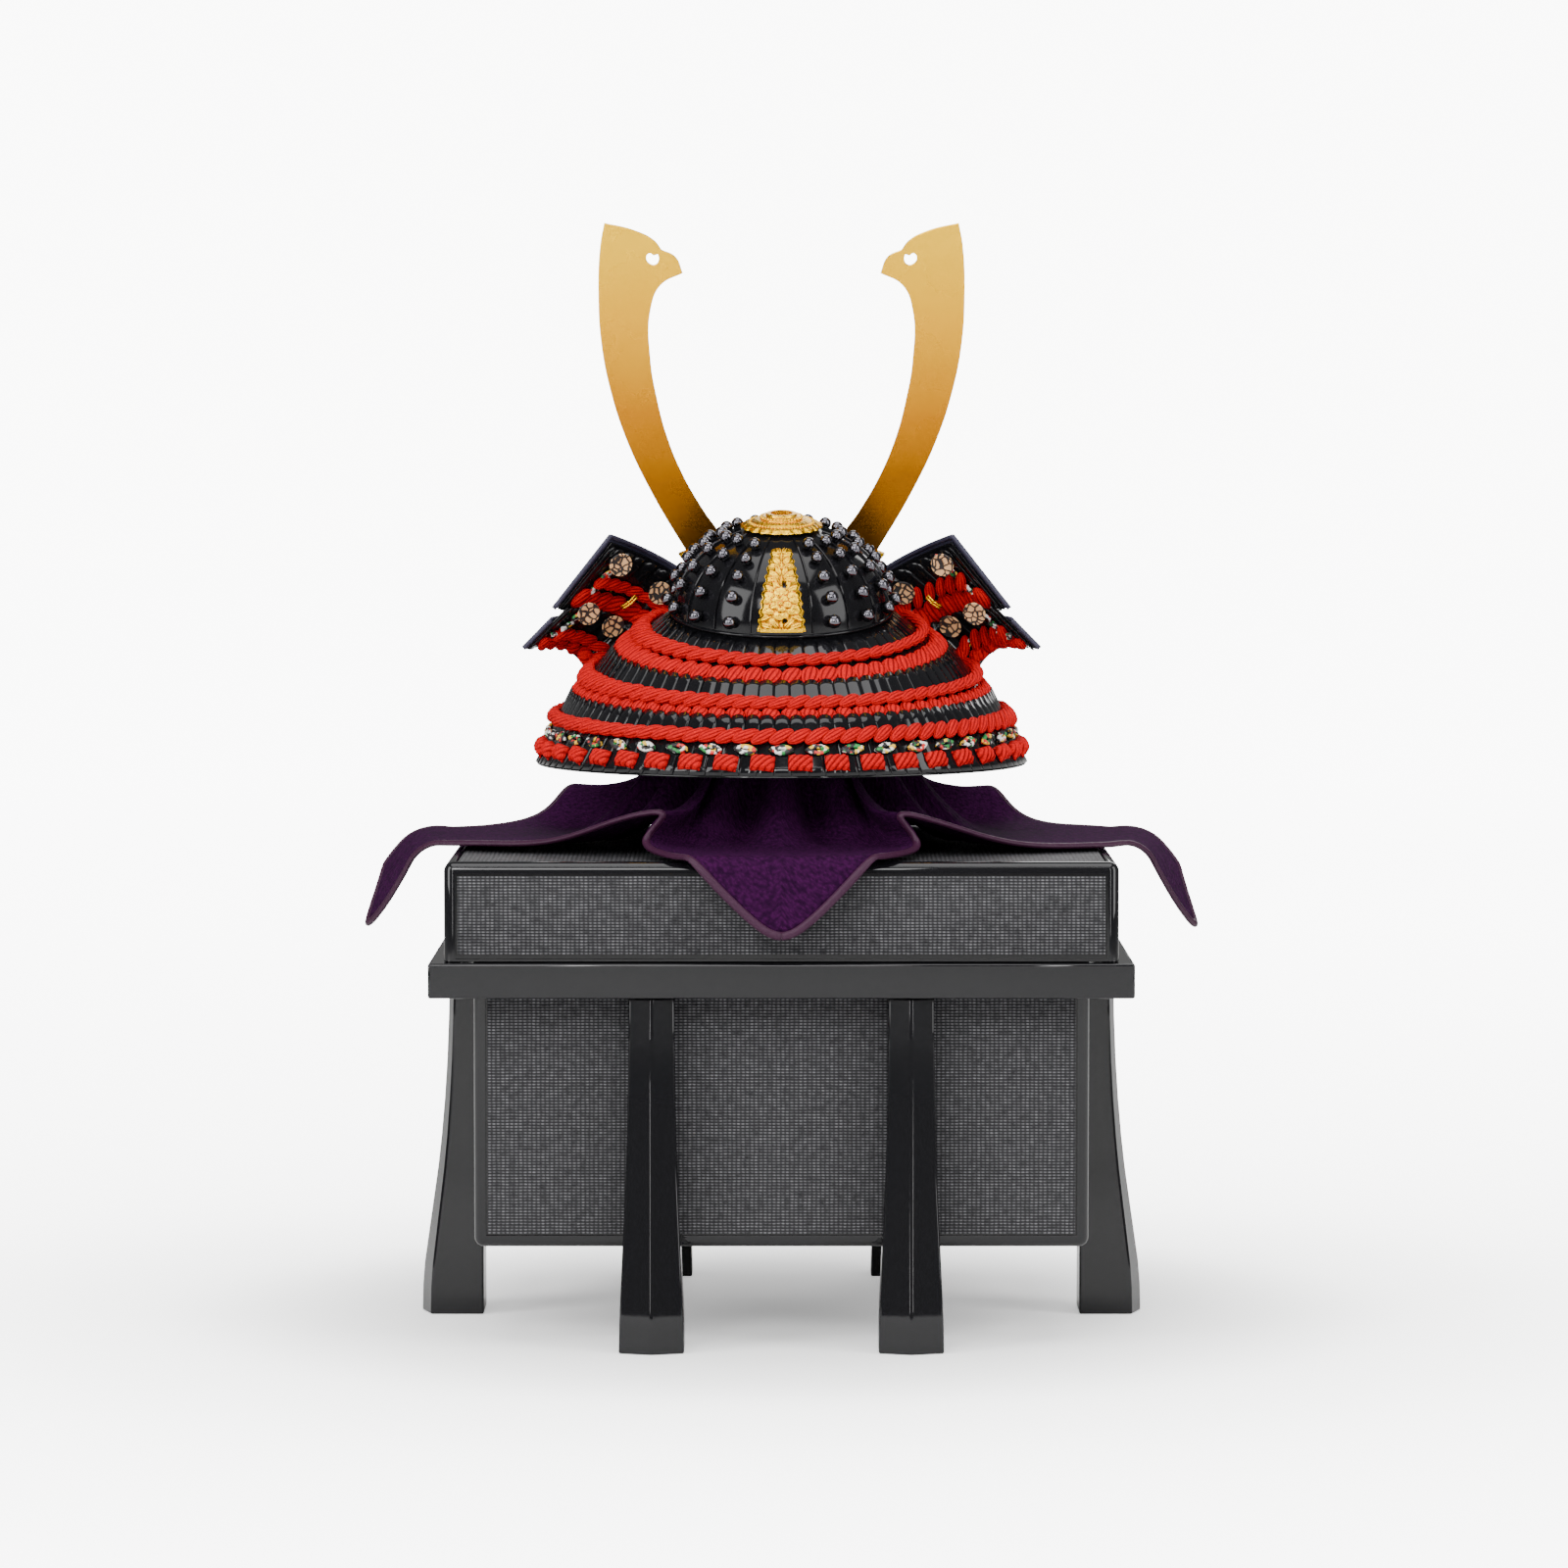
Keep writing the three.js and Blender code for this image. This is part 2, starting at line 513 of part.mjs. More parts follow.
// A point of a plate's outer face: down 0 at its top edge and 1 at its bottom, along -1 at its left end, 1 at its right.
function guardPoint(guard, down, along) {
  const share = Math.abs(along);
  const bottom = edgePoint(guard, guard.bottom, guard.wingBottom, share);
  const { under } = guard;
  const top = under
    ? guardFrame(GUARDS[under.guard], under.at, share * under.reach, under.off).point
    : edgePoint(guard, guard.top, guard.wingTop, share);
  const point = top.lerp(bottom, down);
  return v3(point.x * (along < 0 ? -1 : 1), point.y, point.z);
}

// The same point moved off the outer face by a distance, with the directions that lie along, down and off the face there.
function guardFrame(guard, down, along, off = 0) {
  const step = 1e-3;
  const here = guardPoint(guard, down, along);
  const across = guardPoint(guard, down, along + step).sub(guardPoint(guard, down, along - step)).normalize();
  const fall = guardPoint(guard, down + step, along).sub(guardPoint(guard, down - step, along)).normalize();
  const normal = fall.clone().cross(across).normalize();
  return { point: here.addScaledVector(normal, off), across, fall, normal };
}

// Where the sections along a plate lie: closer together where it turns into a wing.
const RING_STATIONS = 13;
const WING_STATIONS = [0.16, 0.32, 0.48, 0.64, 0.82, 1];
function stations(guard, reach = 1) {
  const ring = range(RING_STATIONS + 1).map((k) => k / RING_STATIONS);
  const half = guard.fold
    ? [...ring.map((s) => s * FOLD_AT), ...WING_STATIONS.map((s) => mix(FOLD_AT, 1, s))]
    : ring;
  const kept = half.map((s) => s * reach);
  return [...kept.slice(1).reverse().map((s) => -s), ...kept];
}

// A sheet on a plate, at given heights down it, between two distances off its outer face.
function strip(guard, downs, off, alongs) {
  const face = (distance) => (i, j) => guardFrame(guard, downs[j], alongs[i], distance).point;
  return wall(alongs.length - 1, downs.length - 1, face(off[1]), face(off[0]));
}

function buildGuards() {
  for (const [name, guard] of Object.entries(GUARDS)) {
    const downs = guard.fold ? [0, 0.35, 0.7, 1] : [0, 1];
    add(name, strip(guard, downs, [-GUARD_THICKNESS, 0], stations(guard)), blackLacquer);
  }
  for (const [name, { guard, from, to, thickness }] of Object.entries(BANDS)) {
    const alongs = stations(GUARDS[guard], 0.985);
    add(name, strip(GUARDS[guard], [from, to], [LIFT, LIFT + thickness], alongs), redCord);
  }
}

function buildRopes() {
  const sides = 6;
  for (const [name, { guard, at, halfHeight, halfThickness }] of Object.entries(ROPES)) {
    const rings = stations(GUARDS[guard], 0.985).map((along) => {
      const { point, fall, normal } = guardFrame(GUARDS[guard], at, along, LIFT + halfThickness);
      return range(sides).map((k) => {
        const a = ((k + 0.5) / sides) * 2 * Math.PI;
        return point.clone().addScaledVector(fall, halfHeight * Math.cos(a)).addScaledVector(normal, halfThickness * Math.sin(a));
      });
    });
    add(name, loft(rings), redCord);
  }
}

// The bottom plate's row of square stitches: thick pads on a thin web, which stands for the cord behind.
function buildStitches() {
  const { guard, from, to, count, fill, thickness, web } = STITCH;
  const alongs = range(count).flatMap((k) => {
    const middle = ((k + 0.5) / count) * 2 - 1;
    const half = fill / count;
    return [-half, 0.12 * half - half, half - 0.12 * half, half].map((d) => middle + d);
  });
  const plate = GUARDS[guard];
  const rings = alongs.map((along, k) => {
    const deep = k % 4 === 1 || k % 4 === 2 ? thickness : web;
    const at = (down, off) => guardFrame(plate, down, along * 0.985, off).point;
    return [at(from, LIFT + deep), at(to, LIFT + deep), at(to, LIFT), at(from, LIFT)];
  });
  add("stitches", loft(rings), redCord);
}

// ---------- Wing covers, washers and crest studs ----------
function wingFrame(guardName, down, out, side, off) {
  return guardFrame(GUARDS[guardName], down, side * mix(FOLD_AT, 1, out), off);
}

function buildWings() {
  const near = -GUARD_THICKNESS - 1.5 * GAP;
  for (const [word, side] of [["left", -1], ["right", 1]]) {
    for (const [name, { guard, from, to, last }] of Object.entries(COVERS)) {
      const alongs = [...WING_STATIONS.slice(1), last].map((out) => side * mix(FOLD_AT, 1, out)).sort((a, b) => a - b);
      const downs = [from, mix(from, to, 0.35), mix(from, to, 0.7), to];
      add(`${name}_${word}`, strip(GUARDS[guard], downs, [near - LEATHER, near], alongs), navyLeather);
    }
    WASHERS.forEach(({ guard, down, out }, k) => {
      const { point, normal } = wingFrame(guard, down, out, side, WASHER.lift);
      add(`washer_${word}_${k + 1}`, disc(point, normal, WASHER.radius, WASHER.thickness), tanLeather);
    });
    const { guard, down, out, radius, thickness } = CREST_STUD;
    const below = -GUARD_THICKNESS - LEATHER - 1.5 * GAP - 0.8;
    const { point, normal } = wingFrame(guard, down, out, side, below);
    add(`crest_stud_${word}`, disc(point, normal.negate(), radius, thickness), gold);
  }
}

function disc(point, normal, radius, thickness) {
  const disc = new THREE.CylinderGeometry(radius, radius, thickness, 12).translate(0, thickness / 2, 0);
  disc.applyQuaternion(new THREE.Quaternion().setFromUnitVectors(v3(0, 1, 0), normal));
  return disc.translate(point.x, point.y, point.z);
}

// ---------- Post and cloth ----------
function buildPost() {
  const { baseRadius, baseHeight, stemRadius, headRadius, headHeight, top } = POST;
  const foot = LID.top + GAP;
  const profile = [
    [0, foot],
    [baseRadius, foot],
    [baseRadius, foot + baseHeight],
    [stemRadius, foot + baseHeight],
    [stemRadius, top - headHeight],
    [headRadius, top - headHeight + 2],
    [headRadius, top - 3],
    [headRadius - 3, top],
    [0, top],
  ].map(([r, z]) => new THREE.Vector2(r, z));
  add("post", geometryFrom(solid(new THREE.LatheGeometry(profile, 12).rotateX(Math.PI / 2))), wood);
}

// The tent that the cloth makes from the post's head down to the lid: its height at a distance from the middle.
const clothTop = POST.top + GAP + CLOTH.thickness;
const clothFloor = LID.top + GAP + CLOTH.thickness + TENT.hem;
function tentHeight(radius) {
  if (radius <= TENT.neck) return clothTop;
  const share = Math.min(1, (radius - TENT.neck) / (TENT.spread - TENT.neck));
  return mix(clothFloor, clothTop, (1 - share) ** TENT.sharpness);
}

// How far out the cloth gets when it is followed for a length along its own surface.
const reachSteps = range(321).reduce((list, k) => {
  const radius = k * 0.75;
  const run = k ? Math.hypot(0.75, tentHeight(radius) - tentHeight(radius - 0.75)) : 0;
  return [...list, { radius, length: (k ? list[k - 1].length : 0) + run }];
}, []);
function radiusAt(length) {
  const next = reachSteps.findIndex((step) => step.length >= length);
  const [a, b] = [reachSteps[next - 1] ?? reachSteps[0], reachSteps[next]];
  return b.length > a.length ? mix(a.radius, b.radius, (length - a.length) / (b.length - a.length)) : b.radius;
}

// How far a part beyond an edge keeps going out, and how far it drops.
function bendDown(value, edge, slope) {
  const beyond = Math.abs(value) - edge;
  if (beyond <= 0) return [value, 0];
  const bend = Math.min(beyond, EDGE_BEND);
  const rest = Math.max(0, beyond - EDGE_BEND);
  const turn = (bend / EDGE_BEND) * slope;
  const out = bend * Math.cos(turn / 2) + rest * Math.cos(slope);
  return [Math.sign(value) * (edge + out), bend * Math.sin(turn / 2) + rest * Math.sin(slope)];
}

// A point of the cloth's upper face. The angle runs from the camera's side (-Y) towards +X.
function clothPoint(angle, length) {
  const radius = radiusAt(length);
  const side = angle < 0 ? -1 : 1;
  const flatAngle = Math.abs(angle);
  const swell = Math.max(0, Math.min(1, (radius - 20) / 70)) * Math.max(0, Math.min(1, (150 - radius) / 40));
  const crests = FOLDS.map((fold) => swell * Math.exp(-(((flatAngle - fold.angle) / fold.width) ** 2)));
  const lift = FOLDS.reduce((sum, fold, k) => sum + fold.height * crests[k], 0);
  const lean = FOLDS.reduce((sum, fold, k) => sum + fold.lean * crests[k], 0) / Math.max(radius, 30);
  const turned = side * (flatAngle + GATHER * Math.sin(4 * flatAngle) - lean);
  const edgeX = LID.width / 2 + CLOTH.thickness + TENT.hem;
  const edgeY = LID.depth / 2 + CLOTH.thickness + 1.4 * TENT.hem;
  const [x, dropX] = bendDown(radius * Math.sin(turned), edgeX, SIDE_SLOPE);
  const [y, dropY] = bendDown(-radius * Math.cos(turned), edgeY, FRONT_SLOPE);
  return v3(x, y, tentHeight(radius) + lift - dropX - dropY);
}

// The cloth is a square seen corner on: across and along run from corner to corner, each from -1 to 1.
function clothAt(across, along) {
  const [x, y] = [(across - along) / 2, (across + along) / 2];
  const flatX = x * CLOTH.sideReach;
  const flatY = y * (y < 0 ? CLOTH.frontReach : CLOTH.backReach);
  const length = Math.hypot(flatX, flatY);
  return length < 1e-6 ? v3(0, 0, clothTop) : clothPoint(Math.atan2(flatX, -flatY), length);
}

function buildCloth() {
  const { steps, thickness } = CLOTH;
  const share = (k) => {
    const t = (2 * k) / steps - 1;
    return t * (0.55 + 0.45 * Math.abs(t));
  };
  const upper = (i, j) => clothAt(share(i), share(j));
  const lower = (i, j) => {
    const d = 0.02;
    const [a, b] = [share(i), share(j)];
    const one = clothAt(a + d, b).sub(clothAt(a - d, b));
    const two = clothAt(a, b + d).sub(clothAt(a, b - d));
    return upper(i, j).addScaledVector(one.cross(two).normalize(), -thickness);
  };
  add("cloth", wall(steps, steps, upper, lower), purpleCrepe);
}

buildChest();
buildLid();
buildLegs();
buildBowl();
buildCrownRing();
buildBackPlate();
buildVisor();
buildHorns();
buildHornHolder();
buildGuards();
buildRopes();
buildStitches();
buildWings();
buildPost();
buildCloth();

export default root;
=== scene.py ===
import bisect
import functools
import random
from math import acos, asin, atan2, copysign, cos, exp, hypot, pi, sin, sqrt

import bmesh
import bpy
from mathutils import Matrix, Vector, noise


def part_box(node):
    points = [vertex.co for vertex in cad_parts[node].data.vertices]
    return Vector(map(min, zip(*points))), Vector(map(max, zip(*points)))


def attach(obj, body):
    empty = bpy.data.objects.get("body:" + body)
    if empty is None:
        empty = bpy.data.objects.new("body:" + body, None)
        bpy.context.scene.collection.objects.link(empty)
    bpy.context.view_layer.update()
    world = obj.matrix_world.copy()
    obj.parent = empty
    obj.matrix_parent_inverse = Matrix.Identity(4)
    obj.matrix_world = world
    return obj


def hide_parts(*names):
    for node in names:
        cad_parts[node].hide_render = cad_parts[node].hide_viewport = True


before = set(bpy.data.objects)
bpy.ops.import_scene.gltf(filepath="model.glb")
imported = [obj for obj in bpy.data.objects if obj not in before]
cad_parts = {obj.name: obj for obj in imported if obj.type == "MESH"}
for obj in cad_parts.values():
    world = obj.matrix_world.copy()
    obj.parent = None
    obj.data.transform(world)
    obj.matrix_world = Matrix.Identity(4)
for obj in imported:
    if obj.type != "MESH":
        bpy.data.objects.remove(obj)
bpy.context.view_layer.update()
MM = 0.001
DEG = pi / 180

# %% [markdown]
# The camera comes before any shape, because it decides what has to be good. It is a long lens nearly three
# metres off, level with the helmet's horns and tipped a little down, so the chest shows a thin slice of its
# lid.
# %% Camera
def add_object(name, data):
    made = bpy.data.objects.new(name, data)
    bpy.context.collection.objects.link(made)
    return made


camera_data = bpy.data.cameras.new("camera")
camera_data.sensor_width = 36
camera_data.lens = 146.8
camera_data.clip_end = 50
camera = add_object("camera", camera_data)
camera.location = (0.0011, -2.8255, 0.4077)
camera.rotation_euler = (86.49 * DEG, 0, 0)
bpy.context.scene.camera = camera
print("camera at", tuple(round(v, 3) for v in camera.location), "lens", camera_data.lens)

# %% [markdown]
# Every finish is a small tree of shader nodes. These functions keep such a tree short: one makes a node and
# feeds its sockets, a few name the nodes used most, and the last makes a Principled surface whose constants
# sit on its own sockets and which takes what varies over the piece from a function.
# %% A small language for shader nodes
def feed(made, inputs):
    """Gives a node's sockets their values, or wires other nodes' outputs to them. A colour is opaque."""
    for key, value in inputs.items():
        socket = made.inputs[key]
        if isinstance(value, bpy.types.NodeSocket):
            made.id_data.links.new(value, socket)
        else:
            socket.default_value = (*value, 1) if socket.type == "RGBA" else value
    return made


def node(tree, kind, inputs, **settings):
    made = tree.nodes.new("ShaderNode" + kind)
    for key, value in settings.items():
        setattr(made, key, value)
    return feed(made, inputs)


def math_node(tree, operation, *values, **settings):
    return node(tree, "Math", dict(enumerate(values)), operation=operation, **settings).outputs[0]


def clouds(tree, place, scale, detail):
    return node(tree, "TexNoise", {"Vector": place, "Scale": scale, "Detail": detail}).outputs[0]


def stretch(tree, value, low, high):
    """Spreads what lies between low and high over 0 to 1."""
    return node(tree, "MapRange", {"Value": value, "From Min": low, "From Max": high}).outputs[0]


def blend(tree, share, first, second):
    return node(tree, "Mix", {0: share, 6: first, 7: second}, data_type="RGBA").outputs[2]


def ramp(tree, value, stops, interpolation="LINEAR"):
    made = node(tree, "ValToRGB", {0: value})
    made.color_ramp.interpolation = interpolation
    for k, (position, color) in enumerate(stops):
        element = made.color_ramp.elements[k] if k < 2 else made.color_ramp.elements.new(position)
        element.position = position
        element.color = (*color, 1)
    return made.outputs["Color"]


def bumps(tree, height, distance, strength=1.0):
    return node(tree, "Bump", {"Height": height, "Distance": distance, "Strength": strength}).outputs[0]


def finish(name, wire, **constants):
    material = bpy.data.materials.new(name)
    material.use_nodes = True
    tree = material.node_tree
    own = {key.replace("_", " "): value for key, value in constants.items()}
    varying = wire(tree, node(tree, "TexCoord", {}).outputs["Object"])
    feed(tree.nodes["Principled BSDF"], own | varying)
    return material


def as_mesh(bm, name):
    mesh = bpy.data.meshes.new(name)
    bm.to_mesh(mesh)
    bm.free()
    return mesh


print("shader helpers ready")

# %% [markdown]
# Black lacquer shows only what it mirrors, so a room that is bright all round would turn it grey. The room
# is white to the eye but dim to everything it lights, and so is the floor's own glow; that keeps a pale
# seamless ground under deep blacks, from every side. Large soft panels do the modelling: one each side for
# the legs, one above for the lid and the scales, one in front for the gold and one behind. Three narrow
# strips draw the thin white lines that polished lacquer shows along its edges.
# %% Floor, room and lights
ROOM_SEEN, ROOM_LIGHT = 10.0, 0.2
FLOOR_REACH = 4.0
# How bright the floor glows at some distances in metres, beside the room. The glow is dimmed near the
# chest, a painted shadow round it, so that the real shadow of the lit floor shows there too. The two ends
# come first.
GLOW_WITH_PAINTED_SHADOW = [(0, 0.03), (FLOOR_REACH, 0.97), (0.12, 0.06), (0.3, 0.34), (0.6, 0.58), (1.2, 0.72)]
PANELS = {  # place, height it faces, width and height, power
    "panel_left": ((-1.7, -1.2, 1.1), 0.25, (1.0, 1.8), 42),
    "panel_right": ((1.7, -1.0, 1.0), 0.25, (1.0, 1.8), 33),
    "panel_above": ((0, -0.3, 2.2), 0.2, (1.8, 1.4), 34),
    "panel_front": ((-0.4, -2.3, 1.5), 0.3, (1.4, 0.7), 31),
    "panel_back": ((0.5, 2.2, 1.3), 0.3, (1.6, 1.2), 18),
    "strip_left": ((-0.72, -2.3, 0.9), 0.25, (0.07, 1.7), 8),
    "strip_right": ((0.8, -2.2, 0.9), 0.25, (0.07, 1.7), 8),
    "strip_above": ((0, -1.5, 2.1), 0.3, (1.5, 0.12), 8),
}


def wire_floor(tree, place):
    away = node(tree, "VectorMath", {0: place}, operation="LENGTH").outputs["Value"]
    # painted shadow: the glow is dim near the chest and grows with distance
    glow_with_painted_shadow = node(tree, "FloatCurve", {"Value": math_node(tree, "DIVIDE", away, FLOOR_REACH, use_clamp=True)})
    curve = glow_with_painted_shadow.mapping.curves[0]
    for k, (metres, share) in enumerate(GLOW_WITH_PAINTED_SHADOW):
        if k < 2:
            curve.points[k].location = (metres / FLOOR_REACH, share)
        else:
            curve.points.new(metres / FLOOR_REACH, share)
    glow_with_painted_shadow.mapping.update()
    seen = node(tree, "LightPath", {}).outputs["Is Camera Ray"]
    return {"Emission Color": math_node(tree, "MULTIPLY", seen, glow_with_painted_shadow.outputs[0])}


def make_floor():
    bm = bmesh.new()
    bmesh.ops.create_grid(bm, x_segments=2, y_segments=2, size=12)
    floor = add_object("floor", as_mesh(bm, "floor"))
    white = (0.93, 0.93, 0.92)
    paint = finish("floor", wire_floor, Base_Color=white, Roughness=0.8, Emission_Strength=ROOM_SEEN)
    floor.data.materials.append(paint)


def make_room():
    world = bpy.data.worlds.new("room")
    world.use_nodes = True
    tree = world.node_tree
    white = (1, 1, 0.99)
    seen = feed(tree.nodes["Background"], {"Color": white, "Strength": ROOM_SEEN})
    lit = node(tree, "Background", {"Color": white, "Strength": ROOM_LIGHT})
    by_camera = node(tree, "LightPath", {}).outputs["Is Camera Ray"]
    choice = node(tree, "MixShader", {0: by_camera, 1: lit.outputs[0], 2: seen.outputs[0]})
    feed(tree.nodes["World Output"], {"Surface": choice.outputs[0]})
    bpy.context.scene.world = world


make_floor()
make_room()
for name, (at, height, size, power) in PANELS.items():
    light = bpy.data.lights.new(name, "AREA")
    light.shape = "RECTANGLE"
    light.size, light.size_y = size
    light.energy = power
    lamp = add_object(name, light)
    lamp.location = at
    lamp.rotation_euler = (Vector((0, 0, height)) - Vector(at)).to_track_quat("-Z", "Y").to_euler()
print(len(PANELS), "soft panels")

# %% [markdown]
# An effect that several finishes share is one node group with named sockets, placed in each finish with its
# own values. Patterns read each piece's own Object coordinates, in metres, so a scale of 1000 is one cell
# per millimetre. Handling dulls any polished thing in soft patches, and dust settles in it as fine specks.
# One group gives both as a roughness, so the lacquer and the gold age alike.
# %% Effect: handling marks
COLOR, VALUE, VECTOR = "NodeSocketColor", "NodeSocketFloat", "NodeSocketVector"


def new_group(name, inputs, outputs):
    """A node group, with the sockets that it is given and the node that takes what it gives."""
    group = bpy.data.node_groups.new(name, "ShaderNodeTree")
    for way, sockets in (("INPUT", inputs), ("OUTPUT", outputs)):
        for label, kind in sockets.items():
            group.interface.new_socket(label, in_out=way, socket_type=kind)
    return group, group.nodes.new("NodeGroupInput").outputs, group.nodes.new("NodeGroupOutput")


handling, given, gives = new_group(
    "handling marks",
    {"Vector": VECTOR, "Polished": VALUE, "Dulled": VALUE, "Patch size": VALUE},
    {"Roughness": VALUE, "Patches": VALUE},
)
patches = clouds(handling, given["Vector"], given["Patch size"], 5.0)
specks = math_node(handling, "GREATER_THAN", clouds(handling, given["Vector"], 2400.0, 1.0), 0.68)
worn = math_node(handling, "POWER", patches, 1.6)
share = math_node(handling, "ADD", worn, math_node(handling, "MULTIPLY", specks, 0.25))
spread = math_node(handling, "SUBTRACT", given["Dulled"], given["Polished"])
rough = math_node(handling, "MULTIPLY_ADD", share, spread, given["Polished"])
feed(gives, {"Roughness": rough, "Patches": patches})
print("group:", handling.name)

# %% [markdown]
# Braided cord is not smooth: fine yarns catch the light in short dashes. Distorted noise, less a net of
# fuzz, gives their height, and the same group paints shade by that height: darker between the yarns,
# lighter on their crowns.
# %% Effect: yarns
yarns_with_painted_shade, given, gives = new_group(
    "yarns_with_painted_shade",
    {"Vector": VECTOR, "Scale": VALUE, "Deep": COLOR, "Crown": COLOR},
    {"Color": COLOR, "Height": VALUE},
)
place = {"Vector": given["Vector"], "Scale": given["Scale"]}
fibre = node(yarns_with_painted_shade, "TexNoise", place | {"Detail": 3.0, "Distortion": 0.6}).outputs[0]
fuzz = node(yarns_with_painted_shade, "TexVoronoi", place).outputs["Distance"]
height = math_node(yarns_with_painted_shade, "SUBTRACT", fibre, math_node(yarns_with_painted_shade, "MULTIPLY", fuzz, 0.4))
# painted shade: the colour follows the yarns' height, Deep in the low parts and Crown on top
color = blend(yarns_with_painted_shade, stretch(yarns_with_painted_shade, height, 0.1, 0.6), given["Deep"], given["Crown"])
feed(gives, {"Color": color, "Height": height})
print("group:", yarns_with_painted_shade.name)

# %% [markdown]
# The object wears few finishes. Lacquer is nearly black and mirrors softly; gilding and gunmetal are
# metals; cord and leather are rough. Light does not reach a hollow, so metal and cord get painted shade:
# their colour turns darker where the piece carries a shade depth from 0 to 1 in a point attribute.
# %% Finishes: lacquer, gold, cord, leather
def handled(tree, place, polished, dulled, size):
    inputs = {"Vector": place, "Polished": polished, "Dulled": dulled, "Patch size": size}
    return node(tree, "Group", inputs, node_tree=handling).outputs


# Painted shade: the colour turns towards a share of the deep colour where the painted shade attribute is
# high.
def painted_shade_in_hollows(tree, tint, deep, share):
    painted_shade = node(tree, "Attribute", {}, attribute_name="painted_shade").outputs["Fac"]
    return blend(tree, painted_shade, tint, tuple(share * value for value in deep))


def lacquer(name, deep, worn, polished, dulled, size, mirror):
    def wire(tree, place):
        marks = handled(tree, place, polished, dulled, size)
        color = blend(tree, marks["Patches"], deep, worn)
        skin = bumps(tree, clouds(tree, place, 260.0, 2.0), 0.000005)
        return {"Base Color": color, "Roughness": marks["Roughness"], "Normal": skin}

    return finish(name, wire, Specular_IOR_Level=mirror)


def gilding(name, bright, deep, polished, dulled, pits):
    def wire(tree, place):
        marks = handled(tree, place, polished, dulled, 90.0)
        # painted shade in the relief's hollows
        color = painted_shade_in_hollows(tree, blend(tree, marks["Patches"], deep, bright), deep, 0.32)
        skin = bumps(tree, clouds(tree, place, pits, 4.0), 0.00025)
        return {"Base Color": color, "Roughness": marks["Roughness"], "Normal": skin}

    return finish(name, wire, Metallic=1.0)


def cord_finish(name, deep, crown):
    def wire(tree, place):
        inputs = {"Vector": place, "Scale": 2400.0, "Deep": deep, "Crown": crown}
        look = node(tree, "Group", inputs, node_tree=yarns_with_painted_shade).outputs
        # painted shade in the cord's grooves
        color = painted_shade_in_hollows(tree, look["Color"], deep, 0.22)
        return {"Base Color": color, "Normal": bumps(tree, look["Height"], 0.0006)}

    return finish(name, wire, Roughness=0.8, Specular_IOR_Level=0.12)


def leather_finish(name, deep, pale):
    def wire(tree, place):
        grain = node(tree, "TexVoronoi", {"Vector": place, "Scale": 1500.0}, feature="DISTANCE_TO_EDGE")
        color = blend(tree, clouds(tree, place, 220.0, 4.0), deep, pale)
        return {"Base Color": color, "Normal": bumps(tree, grain.outputs["Distance"], 0.0002)}

    return finish(name, wire, Roughness=0.62)


chest_lacquer = lacquer("chest lacquer", (0.004, 0.004, 0.005), (0.007, 0.007, 0.008), 0.03, 0.08, 8.0, 0.36)
bowl_lacquer = lacquer("bowl lacquer", (0.003, 0.003, 0.004), (0.006, 0.006, 0.007), 0.08, 0.16, 40.0, 0.24)
guard_lacquer = lacquer("guard lacquer", (0.003, 0.003, 0.004), (0.006, 0.006, 0.007), 0.04, 0.09, 40.0, 0.3)
gunmetal = gilding("gunmetal", (0.15, 0.145, 0.165), (0.07, 0.067, 0.078), 0.07, 0.13, 60.0)
cast_gold = gilding("cast gold", (1.0, 0.62, 0.003), (0.9, 0.43, 0.001), 0.2, 0.34, 900.0)
red_cord = cord_finish("red cord", (0.44, 0.0005, 0.002), (0.9, 0.002, 0.007))
navy_leather = leather_finish("navy leather", (0.012, 0.011, 0.028), (0.026, 0.024, 0.052))
print(len(bpy.data.materials), "finishes so far")

# %% [markdown]
# Two kinds of helper turn shapes into pieces. Shapes are drawn in millimetres; a piece is stored in metres,
# rides on the model, and says which plain solids it stands for. A section is swept from place to place, a
# profile is spun, and a small shape that repeats is stamped.
# %% Helpers: pieces and sweeps
def make_piece(bm, name, material, stands_for=(), sharp=30, weld=True):
    """Makes a shape a piece. Its doubles are merged and its faces turned outwards, unless it comes ready."""
    if weld:
        bmesh.ops.remove_doubles(bm, verts=bm.verts, dist=0.001)
        bmesh.ops.recalc_face_normals(bm, faces=bm.faces)
    bmesh.ops.scale(bm, vec=(MM, MM, MM), verts=bm.verts)
    mesh = as_mesh(bm, name)
    for surface in [material] if isinstance(material, bpy.types.Material) else material:
        mesh.materials.append(surface)
    mesh.shade_smooth()
    mesh.set_sharp_from_angle(angle=sharp * DEG)
    piece = add_object(name, mesh)
    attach(piece, "root")
    if stands_for:
        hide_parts(*stands_for)
    print(name, len(mesh.polygons), "faces")
    return piece


def ease_edges(piece, width, segments=2, angle=40):
    bevel = piece.modifiers.new("eased edges", "BEVEL")
    bevel.width = width * MM
    bevel.segments = segments
    bevel.limit_method = "ANGLE"
    bevel.angle_limit = angle * DEG


def thicken(piece, thickness):
    wall = piece.modifiers.new("thickness", "SOLIDIFY")
    wall.thickness = thickness * MM
    wall.offset = -1


def verts_among(parts):
    return [part for part in parts if isinstance(part, bmesh.types.BMVert)]


